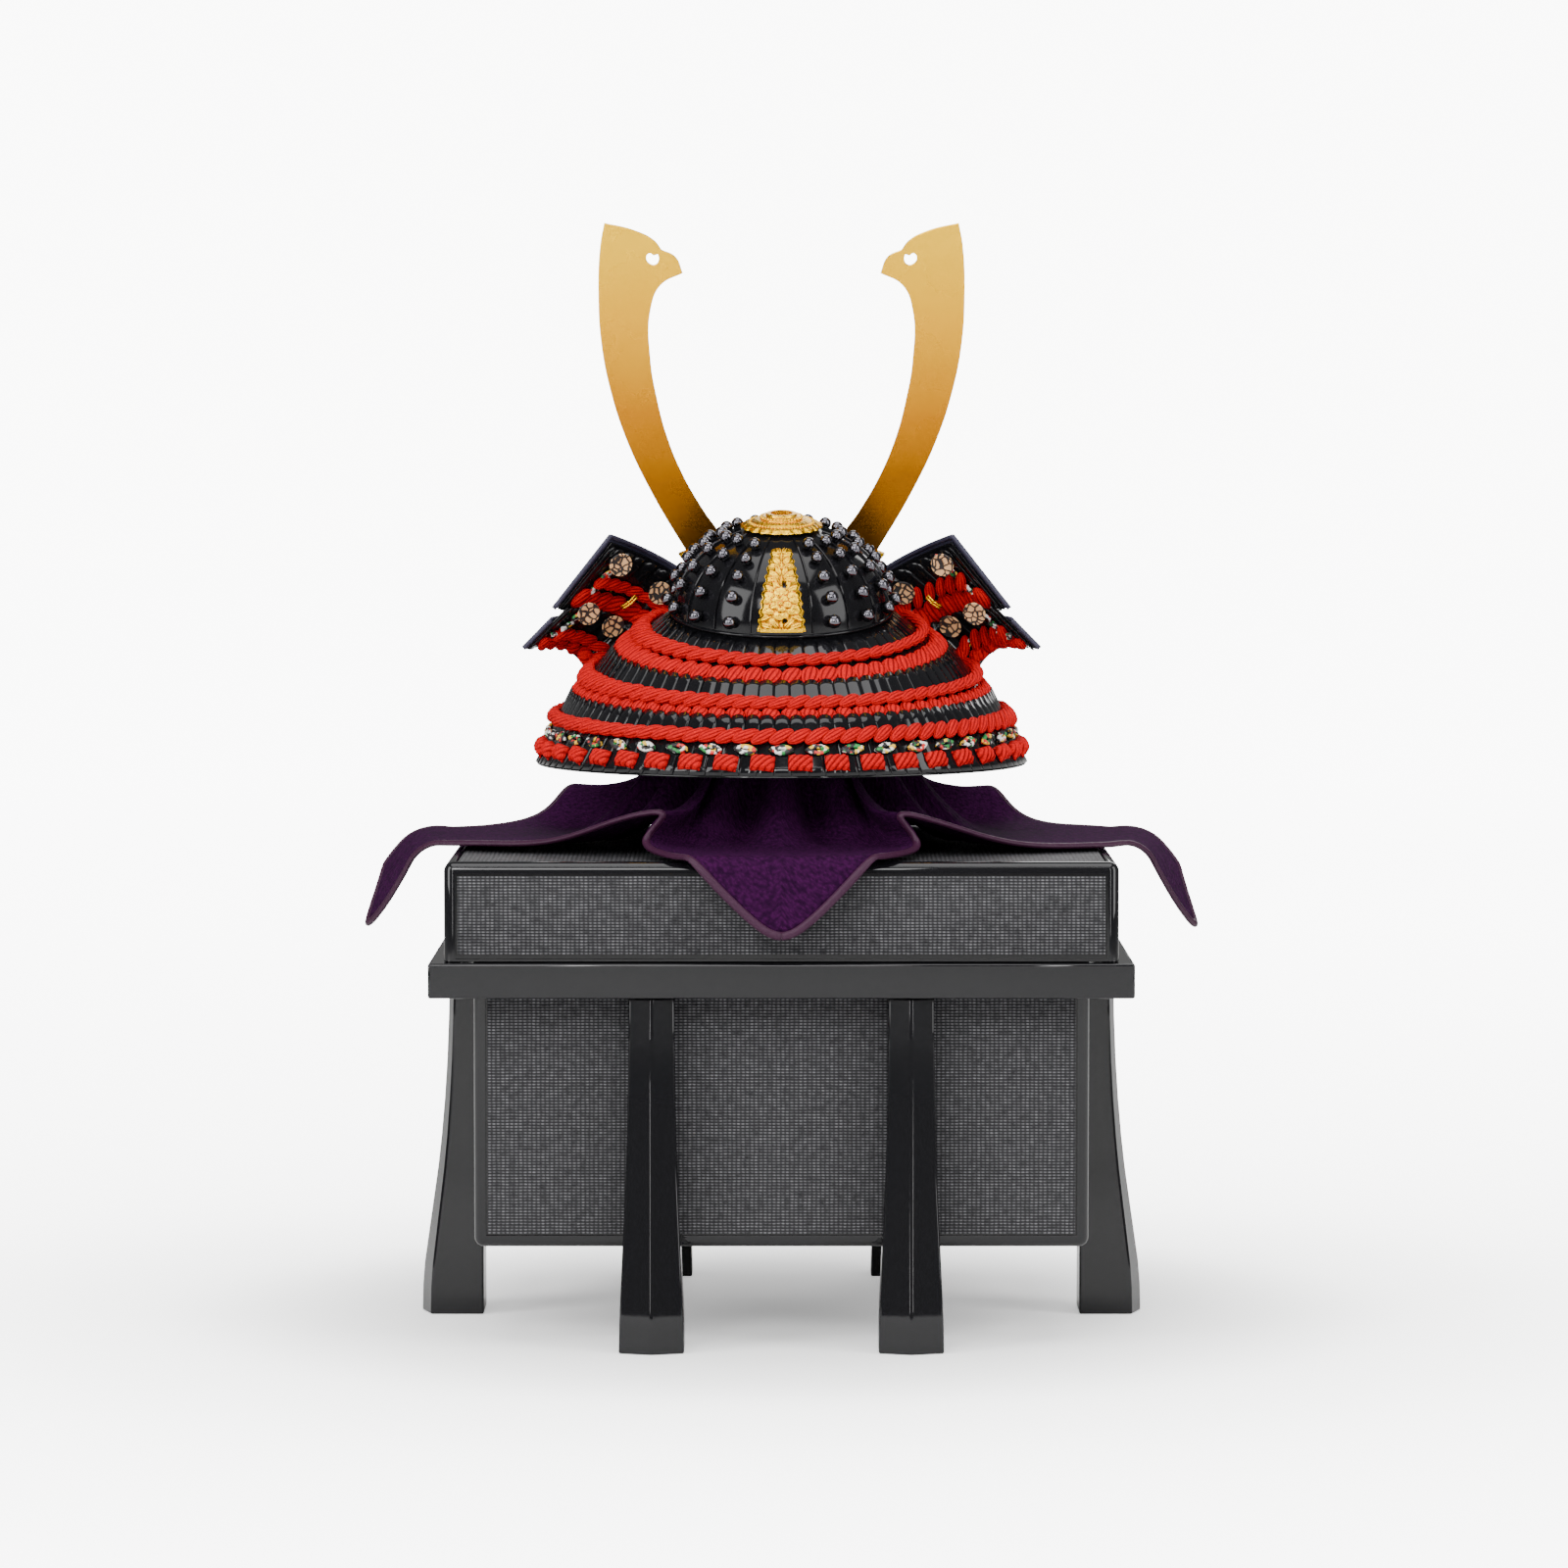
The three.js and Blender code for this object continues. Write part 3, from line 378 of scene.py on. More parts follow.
def sweep(bm, section, places):
    """Draws a closed section at the first place, extrudes it from place to place and closes both ends."""
    ring = [bm.verts.new(places[0] @ Vector(corner)) for corner in section]
    edges = [bm.edges.new((ring[k - 1], ring[k])) for k in range(len(ring))]
    ends = list(edges)
    for before, after in zip(places, places[1:]):
        grown = bmesh.ops.extrude_edge_only(bm, edges=edges)["geom"]
        edges = [part for part in grown if isinstance(part, bmesh.types.BMEdge)]
        bmesh.ops.transform(bm, matrix=after @ before.inverted(), verts=verts_among(grown))
    bmesh.ops.holes_fill(bm, edges=ends + edges, sides=0)


def swept(section, places):
    bm = bmesh.new()
    sweep(bm, section, places)
    return bm


def round_section(across, up):
    turns = [k / 10 * 2 * pi for k in range(10)]
    return [(across * cos(turn), up * sin(turn), 0) for turn in turns]


def lathe(bm, profile, steps):
    """Spins a closed profile of (radius, height) round Z."""
    points = [bm.verts.new((r, 0, z)) for r, z in profile]
    edges = [bm.edges.new((points[k - 1], points[k])) for k in range(len(points))]
    bmesh.ops.spin(bm, geom=points + edges, cent=(0, 0, 0), axis=(0, 0, 1), angle=360 * DEG, steps=steps,
                   use_merge=True, use_duplicate=False)


def block(bm, size, middle):
    corners = bmesh.ops.create_cube(bm, size=1)["verts"]
    bmesh.ops.scale(bm, vec=size, verts=corners)
    bmesh.ops.translate(bm, vec=middle, verts=corners)


def mix(first, second, share):
    return first + (second - first) * share


def clamp(value):
    return max(0.0, min(1.0, value))


def placed(at, across, up, out):
    """The place at a point whose X, Y and Z lie along the three given directions."""
    return Matrix.Translation(at) @ Matrix((across, up, out)).transposed().to_4x4()


# The point attribute that holds painted shade, from 0 for none to 1 for the darkest.
def painted_shade_layer(bm):
    return bm.verts.layers.float.get("painted_shade") or bm.verts.layers.float.new("painted_shade")


def stamp(bm, template, matrix):
    """Adds a copy of a template mesh at a place."""
    painted_shade_layer(bm)
    first = len(bm.verts)
    bm.from_mesh(template)
    bm.verts.ensure_lookup_table()
    bmesh.ops.transform(bm, matrix=matrix, verts=bm.verts[first:])


print("shape helpers ready")

# %% [markdown]
# The chest is a box of lacquered boards. Each side is a plain frame round a sunk panel, so the shape starts
# as a cube: its edges are rounded, each side is inset by the frame's width, and the inset face is pushed
# in. The open side is inset by the board's thickness and pushed in to hollow it. The lid is the same box
# upside down, and its top has a panel too.
# %% Chest: body and lid
ROUNDING, FRAME_WIDTH, SUNK, BOARD = 4, 5.6, 1.2, 6.0
STEP_WALL = 0.02  # the wall of a step leans by this much, so that it can be pushed straight in
LARGE = 2000  # a face that fills a side is larger than this
BOTTOM, TOP = (2, -1), (2, 1)  # a side is an axis and the way it looks along it


def box_in_mm(node_name):
    low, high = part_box(node_name)
    return low / MM, high / MM


def flat_sides(bm, low, high):
    """The large flat faces that lie on a box's sides, each with its side."""
    found = []
    for face in bm.faces:
        for axis in range(3):
            for level, way in ((low[axis], -1), (high[axis], 1)):
                flat = abs(face.calc_center_median()[axis] - level) < 0.01 and face.normal[axis] * way > 0.99
                if flat and face.calc_area() > LARGE:
                    found.append((face, (axis, way)))
    return found


def push_in(bm, faces, border, depth):
    bmesh.ops.inset_region(bm, faces=faces, thickness=border, depth=0)
    bmesh.ops.inset_region(bm, faces=faces, thickness=STEP_WALL, depth=-depth)


def lacquered_box(name, node_name, opening, plain):
    low, high = box_in_mm(node_name)
    rim = high.z if opening == TOP else low.z
    bm = bmesh.new()
    block(bm, high - low, (high + low) / 2)
    away = [edge for edge in bm.edges if abs((edge.verts[0].co.z + edge.verts[1].co.z) / 2 - rim) > 1]
    bmesh.ops.bevel(bm, geom=away, offset=ROUNDING, segments=5, profile=0.5, affect="EDGES", material=-1,
                    clamp_overlap=True)
    for face, side in flat_sides(bm, low, high):
        if side not in plain:
            push_in(bm, [face], FRAME_WIDTH - ROUNDING, SUNK)
    opened = [face for face, side in flat_sides(bm, low, high) if side == opening]
    push_in(bm, opened, BOARD, high.z - low.z - BOARD)
    ease_edges(make_piece(bm, name, chest_lacquer, [node_name]), 0.5)


lacquered_box("chest_boards", "chest_body", TOP, (BOTTOM, TOP))
lacquered_box("lid_boards", "chest_lid", BOTTOM, (BOTTOM,))

# %% [markdown]
# A ledge runs round the chest, and six legs stand under it. The ledge is one slab whose middle is cut out
# by insetting top and bottom and bridging the two holes. A leg is one five-sided section with a ridge down
# its outer face. It is swept upwards and narrows on the way, quickly at the foot and slowly above it, like
# a hoof.
# %% Chest: ledge and legs
low, high = box_in_mm("chest_rail")
body_high = box_in_mm("chest_body")[1]
bm = bmesh.new()
block(bm, high - low, (high + low) / 2)
flats = [face for face in bm.faces if abs(face.normal.z) > 0.9]
for face in flats:
    bmesh.ops.inset_region(bm, faces=[face], thickness=high.y - body_high.y - 0.3, depth=0)
rims = [edge for face in flats for edge in face.edges]
bmesh.ops.delete(bm, geom=flats, context="FACES_ONLY")
bmesh.ops.bridge_loops(bm, edges=rims)
ease_edges(make_piece(bm, "ledge", chest_lacquer, ["chest_rail"]), 1.0, 3)

LEG_RISE = [  # height, reach out from the box, width
    (0, 28.3, 27.9), (12, 28.0, 27.4), (22, 27.2, 26.7), (34, 25.5, 25.6), (50, 23.2, 24.2), (64, 21.2, 22.9),
    (78, 19.6, 21.8), (95, 18.1, 20.9), (112, 17.0, 20.2), (132, 16.2, 19.7), (150.5, 15.8, 19.5),
]
LEG_SECTION = [(-0.5, -0.012, 0), (-0.5, -0.835, 0), (0, -1, 0), (0.5, -0.835, 0), (0.5, -0.012, 0)]


def make_leg(name):
    low, high = box_in_mm(name)
    at = (low + high) / 2
    if abs(at.x) > body_high.x:  # a leg of the left or right side
        foot, turn = (copysign(body_high.x, at.x), 0, 0), copysign(90, at.x)
    else:
        foot, turn = (at.x, copysign(body_high.y, at.y), 0), 180 if at.y > 0 else 0
    stand = Matrix.Translation(foot) @ Matrix.Rotation(turn * DEG, 4, "Z")
    leg = swept(LEG_SECTION, [stand @ Matrix.Translation((0, 0, z)) @ Matrix.Diagonal((width, reach, 1, 1))
                              for z, reach, width in LEG_RISE])
    piece = make_piece(leg, name + "_turned", chest_lacquer, [name], sharp=15)
    ease_edges(piece, 0.8, 3, 20)


for place in ("rear_left", "rear_right", "front_left", "front_right", "left", "right"):
    make_leg("leg_" + place)

# %% [markdown]
# The sunk panels are faced with a coarse dark weave: thick black threads with a short pale fleck on the
# crown of each crossing, and the flecks come and go. Two waves of different pitch give the crossings, in
# straight rows and columns, and slow noise fades the flecks. The panels are flat solids already, so they
# only need the finish.
# %% Chest: woven panels
weaving, given, gives = new_group(
    "plain weave",
    {"Along": VALUE, "Up": VALUE, "Pitch": VALUE, "Rise": VALUE},
    {"Fleck": VALUE, "Height": VALUE},
)


def thread(along, pitch):
    share = math_node(weaving, "FRACT", math_node(weaving, "DIVIDE", given[along], given[pitch]))
    return math_node(weaving, "SINE", math_node(weaving, "MULTIPLY", share, pi))


knob = math_node(weaving, "MULTIPLY_ADD", thread("Along", "Pitch"), 0.5, 0.5)
knob = math_node(weaving, "MULTIPLY", knob, thread("Up", "Rise"))
feed(gives, {"Fleck": stretch(weaving, knob, 0.5, 0.98), "Height": knob})


def woven(name, axis_along, axis_up):
    def wire(tree, place):
        axes = node(tree, "SeparateXYZ", {0: place}).outputs
        wobble = clouds(tree, place, 160.0, 2.0)
        along = math_node(tree, "MULTIPLY_ADD", wobble, 0.0006, axes[axis_along])
        up = math_node(tree, "MULTIPLY_ADD", wobble, 0.0003, axes[axis_up])
        inputs = {"Along": along, "Up": up, "Pitch": 0.0019, "Rise": 0.0013}
        cloth = node(tree, "Group", inputs, node_tree=weaving).outputs
        seen = stretch(tree, clouds(tree, place, 300.0, 2.0), 0.2, 0.75)
        fleck = math_node(tree, "MULTIPLY", cloth["Fleck"], seen)
        color = blend(tree, fleck, (0.006, 0.006, 0.0075), (0.16, 0.16, 0.17))
        return {"Base Color": color, "Normal": bumps(tree, cloth["Height"], 0.0004)}

    return finish(name, wire, Roughness=0.55, Specular_IOR_Level=0.3)


def dress_solid(name, material):
    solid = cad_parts[name].data
    solid.materials.clear()
    solid.materials.append(material)


WEAVES = {  # the axes along and up the weave, and the panels' last words
    "the back": (0, 2, ("_rear", "_front")),
    "the side": (1, 2, ("_left", "_right")),
    "above": (0, 1, ("_top",)),
}
for view, (along, up, ends) in WEAVES.items():
    weave = woven("weave seen from " + view, along, up)
    panels = [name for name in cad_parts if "_panel_" in name and name.endswith(ends)]
    for name in panels:
        dress_solid(name, weave)
    print(weave.name, "on", panels)

# %% [markdown]
# The bowl is a set of iron plates riveted edge to edge. Each plate turns up a thin rib at one side, and a
# row of round studs climbs its middle. The dome is a lathed shell, squeezed to an oval and tipped back;
# everything on it is placed by one function that turns an angle round the rim and an elevation into a
# point.
# %% Bowl: the dome and its ribs
BOWL_WIDE, BOWL_DEEP, BOWL_HIGH, BOWL_WALL = 48.0, 50.0, 38.5, 1.8
HOLE = 4.8
FIRST_SEAM, SEAM_PITCH = 16.5, 21
DOME_STEPS = 22
bowl_seat = Matrix.Translation((0, 0, 311.6)) @ Matrix.Rotation(10.8 * DEG, 4, "X")


def on_bowl(angle, elevation, off=0.0):
    out = cos(elevation)
    return Vector((
        (BOWL_WIDE + off) * out * sin(angle),
        -(BOWL_DEEP + off) * out * cos(angle),
        (BOWL_HIGH + off) * sin(elevation),
    ))


def bowl_place(angle, elevation, off=0.0):
    """A place on the bowl: Y up the meridian, Z away from the surface."""
    up = (on_bowl(angle, elevation + 0.01, off) - on_bowl(angle, elevation - 0.01, off)).normalized()
    side = (on_bowl(angle + 0.01, elevation, off) - on_bowl(angle - 0.01, elevation, off)).normalized()
    return bowl_seat @ placed(on_bowl(angle, elevation, off), side, up, side.cross(up).normalized())


def either_side(first, count):
    """Angles round the rim, a plate's width apart, to the right and the left of the back."""
    return [side * (first + SEAM_PITCH * k) * DEG for k in range(count) for side in (1, -1)]


top_angle = acos(HOLE / BOWL_WIDE)
climb = [sin(k / DOME_STEPS * pi / 2) * top_angle for k in range(DOME_STEPS + 1)]
outer = [(BOWL_WIDE * cos(e), BOWL_HIGH * sin(e)) for e in climb]
inner = [(max(HOLE, r - BOWL_WALL * cos(e)), z - BOWL_WALL * sin(e))
         for (r, z), e in zip(outer, climb)]
flange = [(BOWL_WIDE - BOWL_WALL, -3.8), (47.3, -3.8), (47.3, -1.4), (48.7, -1.4), (49.0, -1.1), (49.0, -0.5),
          (48.7, -0.2)]
bm = bmesh.new()
lathe(bm, flange + outer + inner[::-1], 112)
bmesh.ops.scale(bm, vec=(1, BOWL_DEEP / BOWL_WIDE, 1), verts=bm.verts)
bmesh.ops.transform(bm, matrix=bowl_seat, verts=bm.verts)
make_piece(bm, "bowl_dome", bowl_lacquer, ["bowl"], sharp=50)

RIB_SECTION = [(-0.5, 0, -0.5), (-0.42, 0, 0.45), (-0.2, 0, 0.85), (0.15, 0, 0.95), (0.42, 0, 0.7),
               (0.5, 0, -0.5)]
bm = bmesh.new()
for angle in either_side(FIRST_SEAM, 8):
    sweep(bm, RIB_SECTION, [bowl_place(angle, mix(0.6, 68, k / 16) * DEG) for k in range(17)])
make_piece(bm, "bowl_ribs", bowl_lacquer, sharp=40)

# %% [markdown]
# A stud is a bright round head on a short dark shank. One head is modelled, a sphere spread a little
# underneath, and stamped at every place; each is set and sized a little differently, as hand-set studs are.
# %% Bowl: studs
STUD_ROWS = [7, 21.5, 35, 47.5, 59]
stud = bmesh.new()
bmesh.ops.create_uvsphere(stud, u_segments=14, v_segments=10, radius=3.05)
bmesh.ops.scale(stud, vec=(1.2, 1.2, 1.1), verts=[vert for vert in stud.verts if vert.co.z < -2.4])
stud = as_mesh(stud, "stud")
columns = either_side(FIRST_SEAM + SEAM_PITCH / 2, 7)
random.seed(5)
bm = bmesh.new()
for angle in columns:
    for k, degrees in enumerate(STUD_ROWS):
        turned = angle + random.uniform(-0.012, 0.012)
        place = bowl_place(turned, (degrees + random.uniform(-0.5, 0.5)) * DEG, 2.5)
        stamp(bm, stud, place @ Matrix.Scale(random.uniform(0.95, 1.04) * (1 - 0.02 * k), 4))
make_piece(bm, "studs", gunmetal, sharp=180, weld=False)
print(len(columns) * len(STUD_ROWS), "studs")

# %% [markdown]
# The crown opening is dressed with a stack of gilt rings: a scalloped plate like an open flower, rings of
# fine beads, a stepped collar and a small lip round the hole. Lathing gives the steps. The flower comes
# from waving the outer rings in and out, and the beads are stamped spheres.
# %% Crown ring
def crown_seat(radius):
    """The height of the bowl's top at a distance from the middle."""
    return 39.5 * sqrt(1 - (radius / 51) ** 2) + 0.3


CROWN_REACH, PETALS, VEINS, COLLAR_WAVES = 18.4, 20, 60, 16
CROWN_PROFILE = [  # radius, height above the plate's seat
    (17.4, 0.16), (18.3, 0.55), (18.2, 1.01), (17, 1.64), (15.4, 2.26), (14.6, 2.5), (13.9, 2.34),
    (13.3, 3.04), (12.2, 3.51), (10.4, 4.06), (9.4, 4.13), (8.9, 5.15), (8.2, 5.46), (7.0, 5.54),
    (6.8, 6.47), (6.0, 6.71), (4.9, 6.55),
]
BEAD_RINGS = [(60, 14.1, 2.7), (36, 9.1, 4.95)]  # beads, radius, height
seat = crown_seat(CROWN_REACH)
bm = bmesh.new()
lathe(bm, [(4.8, 39.9), (10, crown_seat(11))] + [(radius, seat + up) for radius, up in CROWN_PROFILE], 160)
painted_shade = painted_shade_layer(bm)
for vert in bm.verts:
    radius, turn = hypot(vert.co.x, vert.co.y), atan2(vert.co.y, vert.co.x)
    petal = abs(sin(turn * PETALS / 2))
    flower = clamp((radius - 14) / 4.4)
    collar = max(0.0, 1 - abs(radius - 11.4) / 2)
    under_step = max(0, 1 - min(abs(radius - edge) for edge in (8.9, 13.6)) / 0.8)
    # painted shade: darker between the petals of the flower and beside the collar's steps
    vert[painted_shade] = min(1, 0.9 * flower * (1 - petal) ** 2 + 0.8 * under_step)
    if vert.co.z > seat + 0.5:
        vert.co.z += (0.22 * cos(turn * VEINS) + 0.3 * petal) * sin(flower * pi)
        vert.co.z += 0.28 * collar * abs(sin(turn * COLLAR_WAVES))
    trim = 1 - 0.055 * flower * (1 - petal)
    vert.co.x *= trim
    vert.co.y *= trim
bead = bmesh.new()
bmesh.ops.create_uvsphere(bead, u_segments=8, v_segments=6, radius=0.62)
bead = as_mesh(bead, "bead")
for count, radius, up in BEAD_RINGS:
    for k in range(count):
        turn = k / count * 2 * pi
        stamp(bm, bead, Matrix.Translation((radius * cos(turn), radius * sin(turn), seat + up)))
bmesh.ops.transform(bm, matrix=bowl_seat, verts=bm.verts)
make_piece(bm, "crown_rings", cast_gold, ["crown_ring"], sharp=60)

# %% [markdown]
# A tapering gilt plate covers the back seam, cast with a peony and leaves. Cast relief has no undercuts, so
# it can be a fine grid whose points are lifted by a height function: each petal and leaf is one soft lump
# from a short table. Where lumps meet, the higher one wins and a crease is cut beside it. The creases and
# the low ground between lumps are painted darker, as painted shade.
# %% Back plate: relief
PLATE_LOW, PLATE_HIGH = 2.2 * DEG, 57 * DEG
PLATE_LENGTH = 46.0
PEONY = (-0.4, 14.6)
LEAVES = [  # how far from the middle, how high, how far turned
    (6.4, 3.2, 70), (3.2, 4.6, 35), (7.0, 7.4, 120), (5.0, 22.6, 60), (2.4, 24.4, 25), (4.6, 27.4, 95),
    (3.4, 30.4, 50), (1.6, 33.2, 20), (3.6, 35.0, 85), (2.2, 38.2, 40), (2.6, 42.0, 75), (1.0, 43.6, 15),
]


def petal_ring(count, turned, reach, size, height, step=0.0):
    """Petals round the peony's middle, every other one higher by a step."""
    ring = []
    for k in range(count):
        turn = k / count * 2 * pi + turned
        at = (PEONY[0] + reach[0] * sin(turn), PEONY[1] + reach[1] * cos(turn))
        ring.append((*at, turn, *size, height + step * (k % 2), 0.15))
    return ring


# A lump is its place, turn, half length, half width, height and how deep its vein is.
lumps = petal_ring(6, 0.0, (5.8, 5.6), (4.1, 3.9), 1.5, 0.25)
lumps += petal_ring(5, 0.5, (2.9, 2.8), (2.7, 2.6), 2.4)
lumps.append((*PEONY, 0.0, 1.8, 1.8, 3.1, 0.0))
lumps += [(0, y, 0.0, 2.6, 0.9, 1.5, 0.0) for y in (3.5, 27.5, 36.0, 41.5)]  # the stem
for out, y, degrees in LEAVES:
    lumps += [(side * out, y, side * degrees * DEG, 3.6, 1.7, 1.25, 0.35) for side in (1, -1)]


def lump_height(x, y, at_x, at_y, turn, length, width, height, vein):
    """A leaf-shaped lump: highest in its middle, 0 at its edge, with a groove along its spine."""
    dx, dy = x - at_x, y - at_y
    along = (dx * sin(turn) + dy * cos(turn)) / length
    across = (dx * cos(turn) - dy * sin(turn)) / width
    reach = 1 - along * along - across * across
    if reach <= 0:
        return 0.0
    return height * sqrt(reach) * (1 - vein * exp(-((across * 5) ** 2)))


def plate_half(y):
    """Half the plate's width at a height, with the waves of its edge."""
    return mix(10.2, 3.9, (y / PLATE_LENGTH) ** 1.4) + (0.45 * sin(y * 1.35) if 3 < y < 44 else 0.3)


def relief(x, y):
    """The relief's height at a point, whether the plate is pierced there, and how much painted shade it gets.
    """
    *_, second, tallest = sorted(lump_height(x, y, *lump) for lump in lumps)
    crease = max(0.0, 1 - (tallest - second) / 0.2) if second > 0.35 else 0.0
    ground = 0.28 + 0.1 * noise.noise(Vector((x, y, 3)) * 1.6)
    border = 0.9 if y < 1.6 else 0.0
    slot = abs(x - 1.2) < 0.85 and abs(y - 24.6) < 1.7
    pin_hole = hypot(x - 1.5, y - 6.0) < 1.1
    height = -1.0 if slot or pin_hole else max(ground, tallest - 0.4 * crease, border)
    # the painted shade is darkest in the creases and on low ground
    return height, slot or pin_hole, max(0.8 * crease, 1.25 - height * 1.3)


bm = bmesh.new()
painted_shade = painted_shade_layer(bm)
bmesh.ops.create_grid(bm, x_segments=64, y_segments=144, size=0.5)
plate_faces = list(bm.faces)
pits = set()
for vert in bm.verts:
    across, up = vert.co.x * 2, vert.co.y + 0.5
    y = up * PLATE_LENGTH
    x = across * plate_half(y)
    height, pierced, shaded = relief(x, y)
    vert[painted_shade] = clamp(shaded)
    height *= max(0.25, min(1.0, (1 - abs(across)) * 7))
    elevation = mix(PLATE_LOW, PLATE_HIGH, up)
    angle = asin(max(-1, min(1, x / ((BOWL_WIDE + 1.5) * cos(elevation)))))
    vert.co = bowl_seat @ on_bowl(angle, elevation, 1.1 + 1.25 * height)
    if pierced:
        pits.add(vert)
for face in plate_faces:
    if sum(vert in pits for vert in face.verts) >= 3:
        face.material_index = 1
for vert in verts_among(bmesh.ops.extrude_face_region(bm, geom=plate_faces)["geom"]):
    local = bowl_seat.inverted() @ vert.co
    beyond = Vector((local.x / BOWL_WIDE, local.y / BOWL_DEEP, local.z / BOWL_HIGH)).length
    vert.co = bowl_seat @ (local / beyond * 1.007)  # the back lies on the bowl
make_piece(bm, "back_plate_cast", [cast_gold, bowl_lacquer], ["back_plate"], sharp=70)

# %% [markdown]
# The peak is a thin lacquered sheet that slopes from the front half of the rim, with a gilt tube along its
# edge. It is a small grid laid out by one function and thickened, and the tube is a circle swept along that
# function's edge.
# %% Peak and its gilt edge
PEAK_START, PEAK_REACH, PEAK_STEPS = 139 * DEG, 20, 72


def on_peak(share, out, drop=0.0):
    angle = mix(PEAK_START, 2 * pi - PEAK_START, share)
    reach = 2.2 + PEAK_REACH * sin(share * pi) ** 1.3
    rim = on_bowl(angle, 0, 1.3 + out * reach)
    return bowl_seat @ Vector((rim.x, rim.y, -0.4 - 9 * out * reach / 22 - drop))


def grid_on(surface, columns, rows, bm=None):
    """A grid whose points lie where surface(u, v) says, u and v running from 0 to 1."""
    bm = bm or bmesh.new()
    for vert in bmesh.ops.create_grid(bm, x_segments=columns, y_segments=rows, size=0.5)["verts"]:
        vert.co = surface(clamp(vert.co.x + 0.5), clamp(vert.co.y + 0.5))
    return bm


def face_towards(bm, point):
    """Turns an open sheet so that its faces look towards a point."""
    bmesh.ops.recalc_face_normals(bm, faces=bm.faces)
    face = max(bm.faces, key=lambda f: f.calc_area())
    if face.normal.dot(Vector(point) - face.calc_center_median()) <= 0:
        bmesh.ops.reverse_faces(bm, faces=bm.faces)


bm = grid_on(on_peak, PEAK_STEPS, 8)
face_towards(bm, (0, 0, 900))
peak = make_piece(bm, "peak", bowl_lacquer, ["visor"], weld=False)
thicken(peak, 1.4)
ease_edges(peak, 0.4)
steps = []
up = bowl_seat.to_3x3() @ Vector((0, 0, 1))
for k in range(PEAK_STEPS + 1):
    before, edge, after = (on_peak(clamp((k + step) / PEAK_STEPS), 1, 0.7) for step in (-0.5, 0, 0.5))
    along = (after - before).normalized()
    away = along.cross(up).normalized()
    away = -away if away.dot(edge - bowl_seat.translation) < 0 else away
    steps.append(placed(edge + away * 1.4, away, along.cross(away).normalized(), along))
make_piece(swept(round_section(1.1, 1.1), steps), "peak_edge", cast_gold, ["visor_rim"], sharp=70)

# %% [markdown]
# The two horns of the crest are flat plates sawn from sheet metal and gilded. Their colour is painted pale
# and bright at the tips and darker and warmer towards the roots: a painted reflection of the helmet that
# they mirror there. A closed curve gives the outline; where it must bend smoothly its handles are
# automatic, and at a corner they are straight. The curve is filled, thickened and made a mesh.
# %% Crest: horns and holder
CORNER = "VECTOR"
SIDES = (("left", -1), ("right", 1))


def cut_plate(outlines, thickness, rounding):
    """A flat plate in XZ, its back face at Y 0. An outline's points are (x, z), or (x, z, CORNER)."""
    curve = bpy.data.curves.new("cut plate", "CURVE")
    curve.dimensions = "2D"
    curve.fill_mode = "BOTH"
    curve.resolution_u = 10
    curve.extrude = thickness / 2 - rounding
    curve.bevel_depth = rounding
    curve.bevel_resolution = 1
    curve.offset = -rounding
    for outline in outlines:
        line = curve.splines.new("BEZIER")
        line.bezier_points.add(len(outline) - 1)
        line.use_cyclic_u = True
        for point, (x, z, *corner) in zip(line.bezier_points, outline):
            point.co = (x, z, 0)
            point.handle_left_type = point.handle_right_type = "VECTOR" if corner else "AUTO"
    holder = add_object("cut plate", curve)
    bpy.context.view_layer.update()
    bm = bmesh.new()
    bm.from_mesh(bpy.data.meshes.new_from_object(holder))
    bpy.data.objects.remove(holder)
    upright = Matrix.Translation((0, thickness / 2, 0)) @ Matrix.Rotation(90 * DEG, 4, "X")
    bmesh.ops.transform(bm, matrix=upright, verts=bm.verts)
    return bm


HORN = [(22, 3, CORNER), (34, 0.5, CORNER), (44.5, 17), (59.3, 43), (69.5, 65.3), (76.5, 87.6), (80.4, 108.6),
        (81.6, 130), (80.6, 153.3), (78.8, 163.2, CORNER), (65.6, 160), (56.5, 155.3), (53.4, 151.2, CORNER),
        (47.2, 148), (44, 140.7, CORNER), (53.9, 135.2), (58.4, 124.2), (58.5, 100.7), (56, 85), (50.9, 65.3),
        (43.8, 48.1), (34.8, 32.3), (27.3, 21)]
HEART = [(55, 149.2, CORNER), (56.9, 148.6, CORNER), (58.8, 149.6), (60.2, 147.6), (58.6, 144.9),
         (56.0, 144.6), (54.6, 146.8)]
HORN_STAND = 56.5
PLATE = 1.2


def wire_horn_painted_reflection(tree, place):
    marks = handled(tree, place, 0.24, 0.34, 30.0)
    # painted reflection: the gold's colour runs from dark at the roots to pale at the tips, up the horn
    climb = stretch(tree, node(tree, "SeparateXYZ", {0: place}).outputs[2], 0.32, 0.475)
    climb = math_node(tree, "MULTIPLY_ADD", marks["Patches"], 0.12, math_node(tree, "SUBTRACT", climb, 0.06))
    tint = ramp(tree, climb, [  # the two ends come first
        (0.0, (0.2, 0.08, 0.001)), (1.0, (0.95, 0.53, 0.003)), (0.3, (0.25, 0.085, 0.001)),
        (0.5, (0.48, 0.175, 0.001)), (0.78, (0.8, 0.38, 0.001)),
    ])
    brushed = node(tree, "Mapping", {"Vector": place, "Scale": (60.0, 60.0, 3000.0)}).outputs[0]
    lines = clouds(tree, brushed, 1.0, 3.0)
    return {"Base Color": tint, "Roughness": marks["Roughness"], "Normal": bumps(tree, lines, 0.00004)}


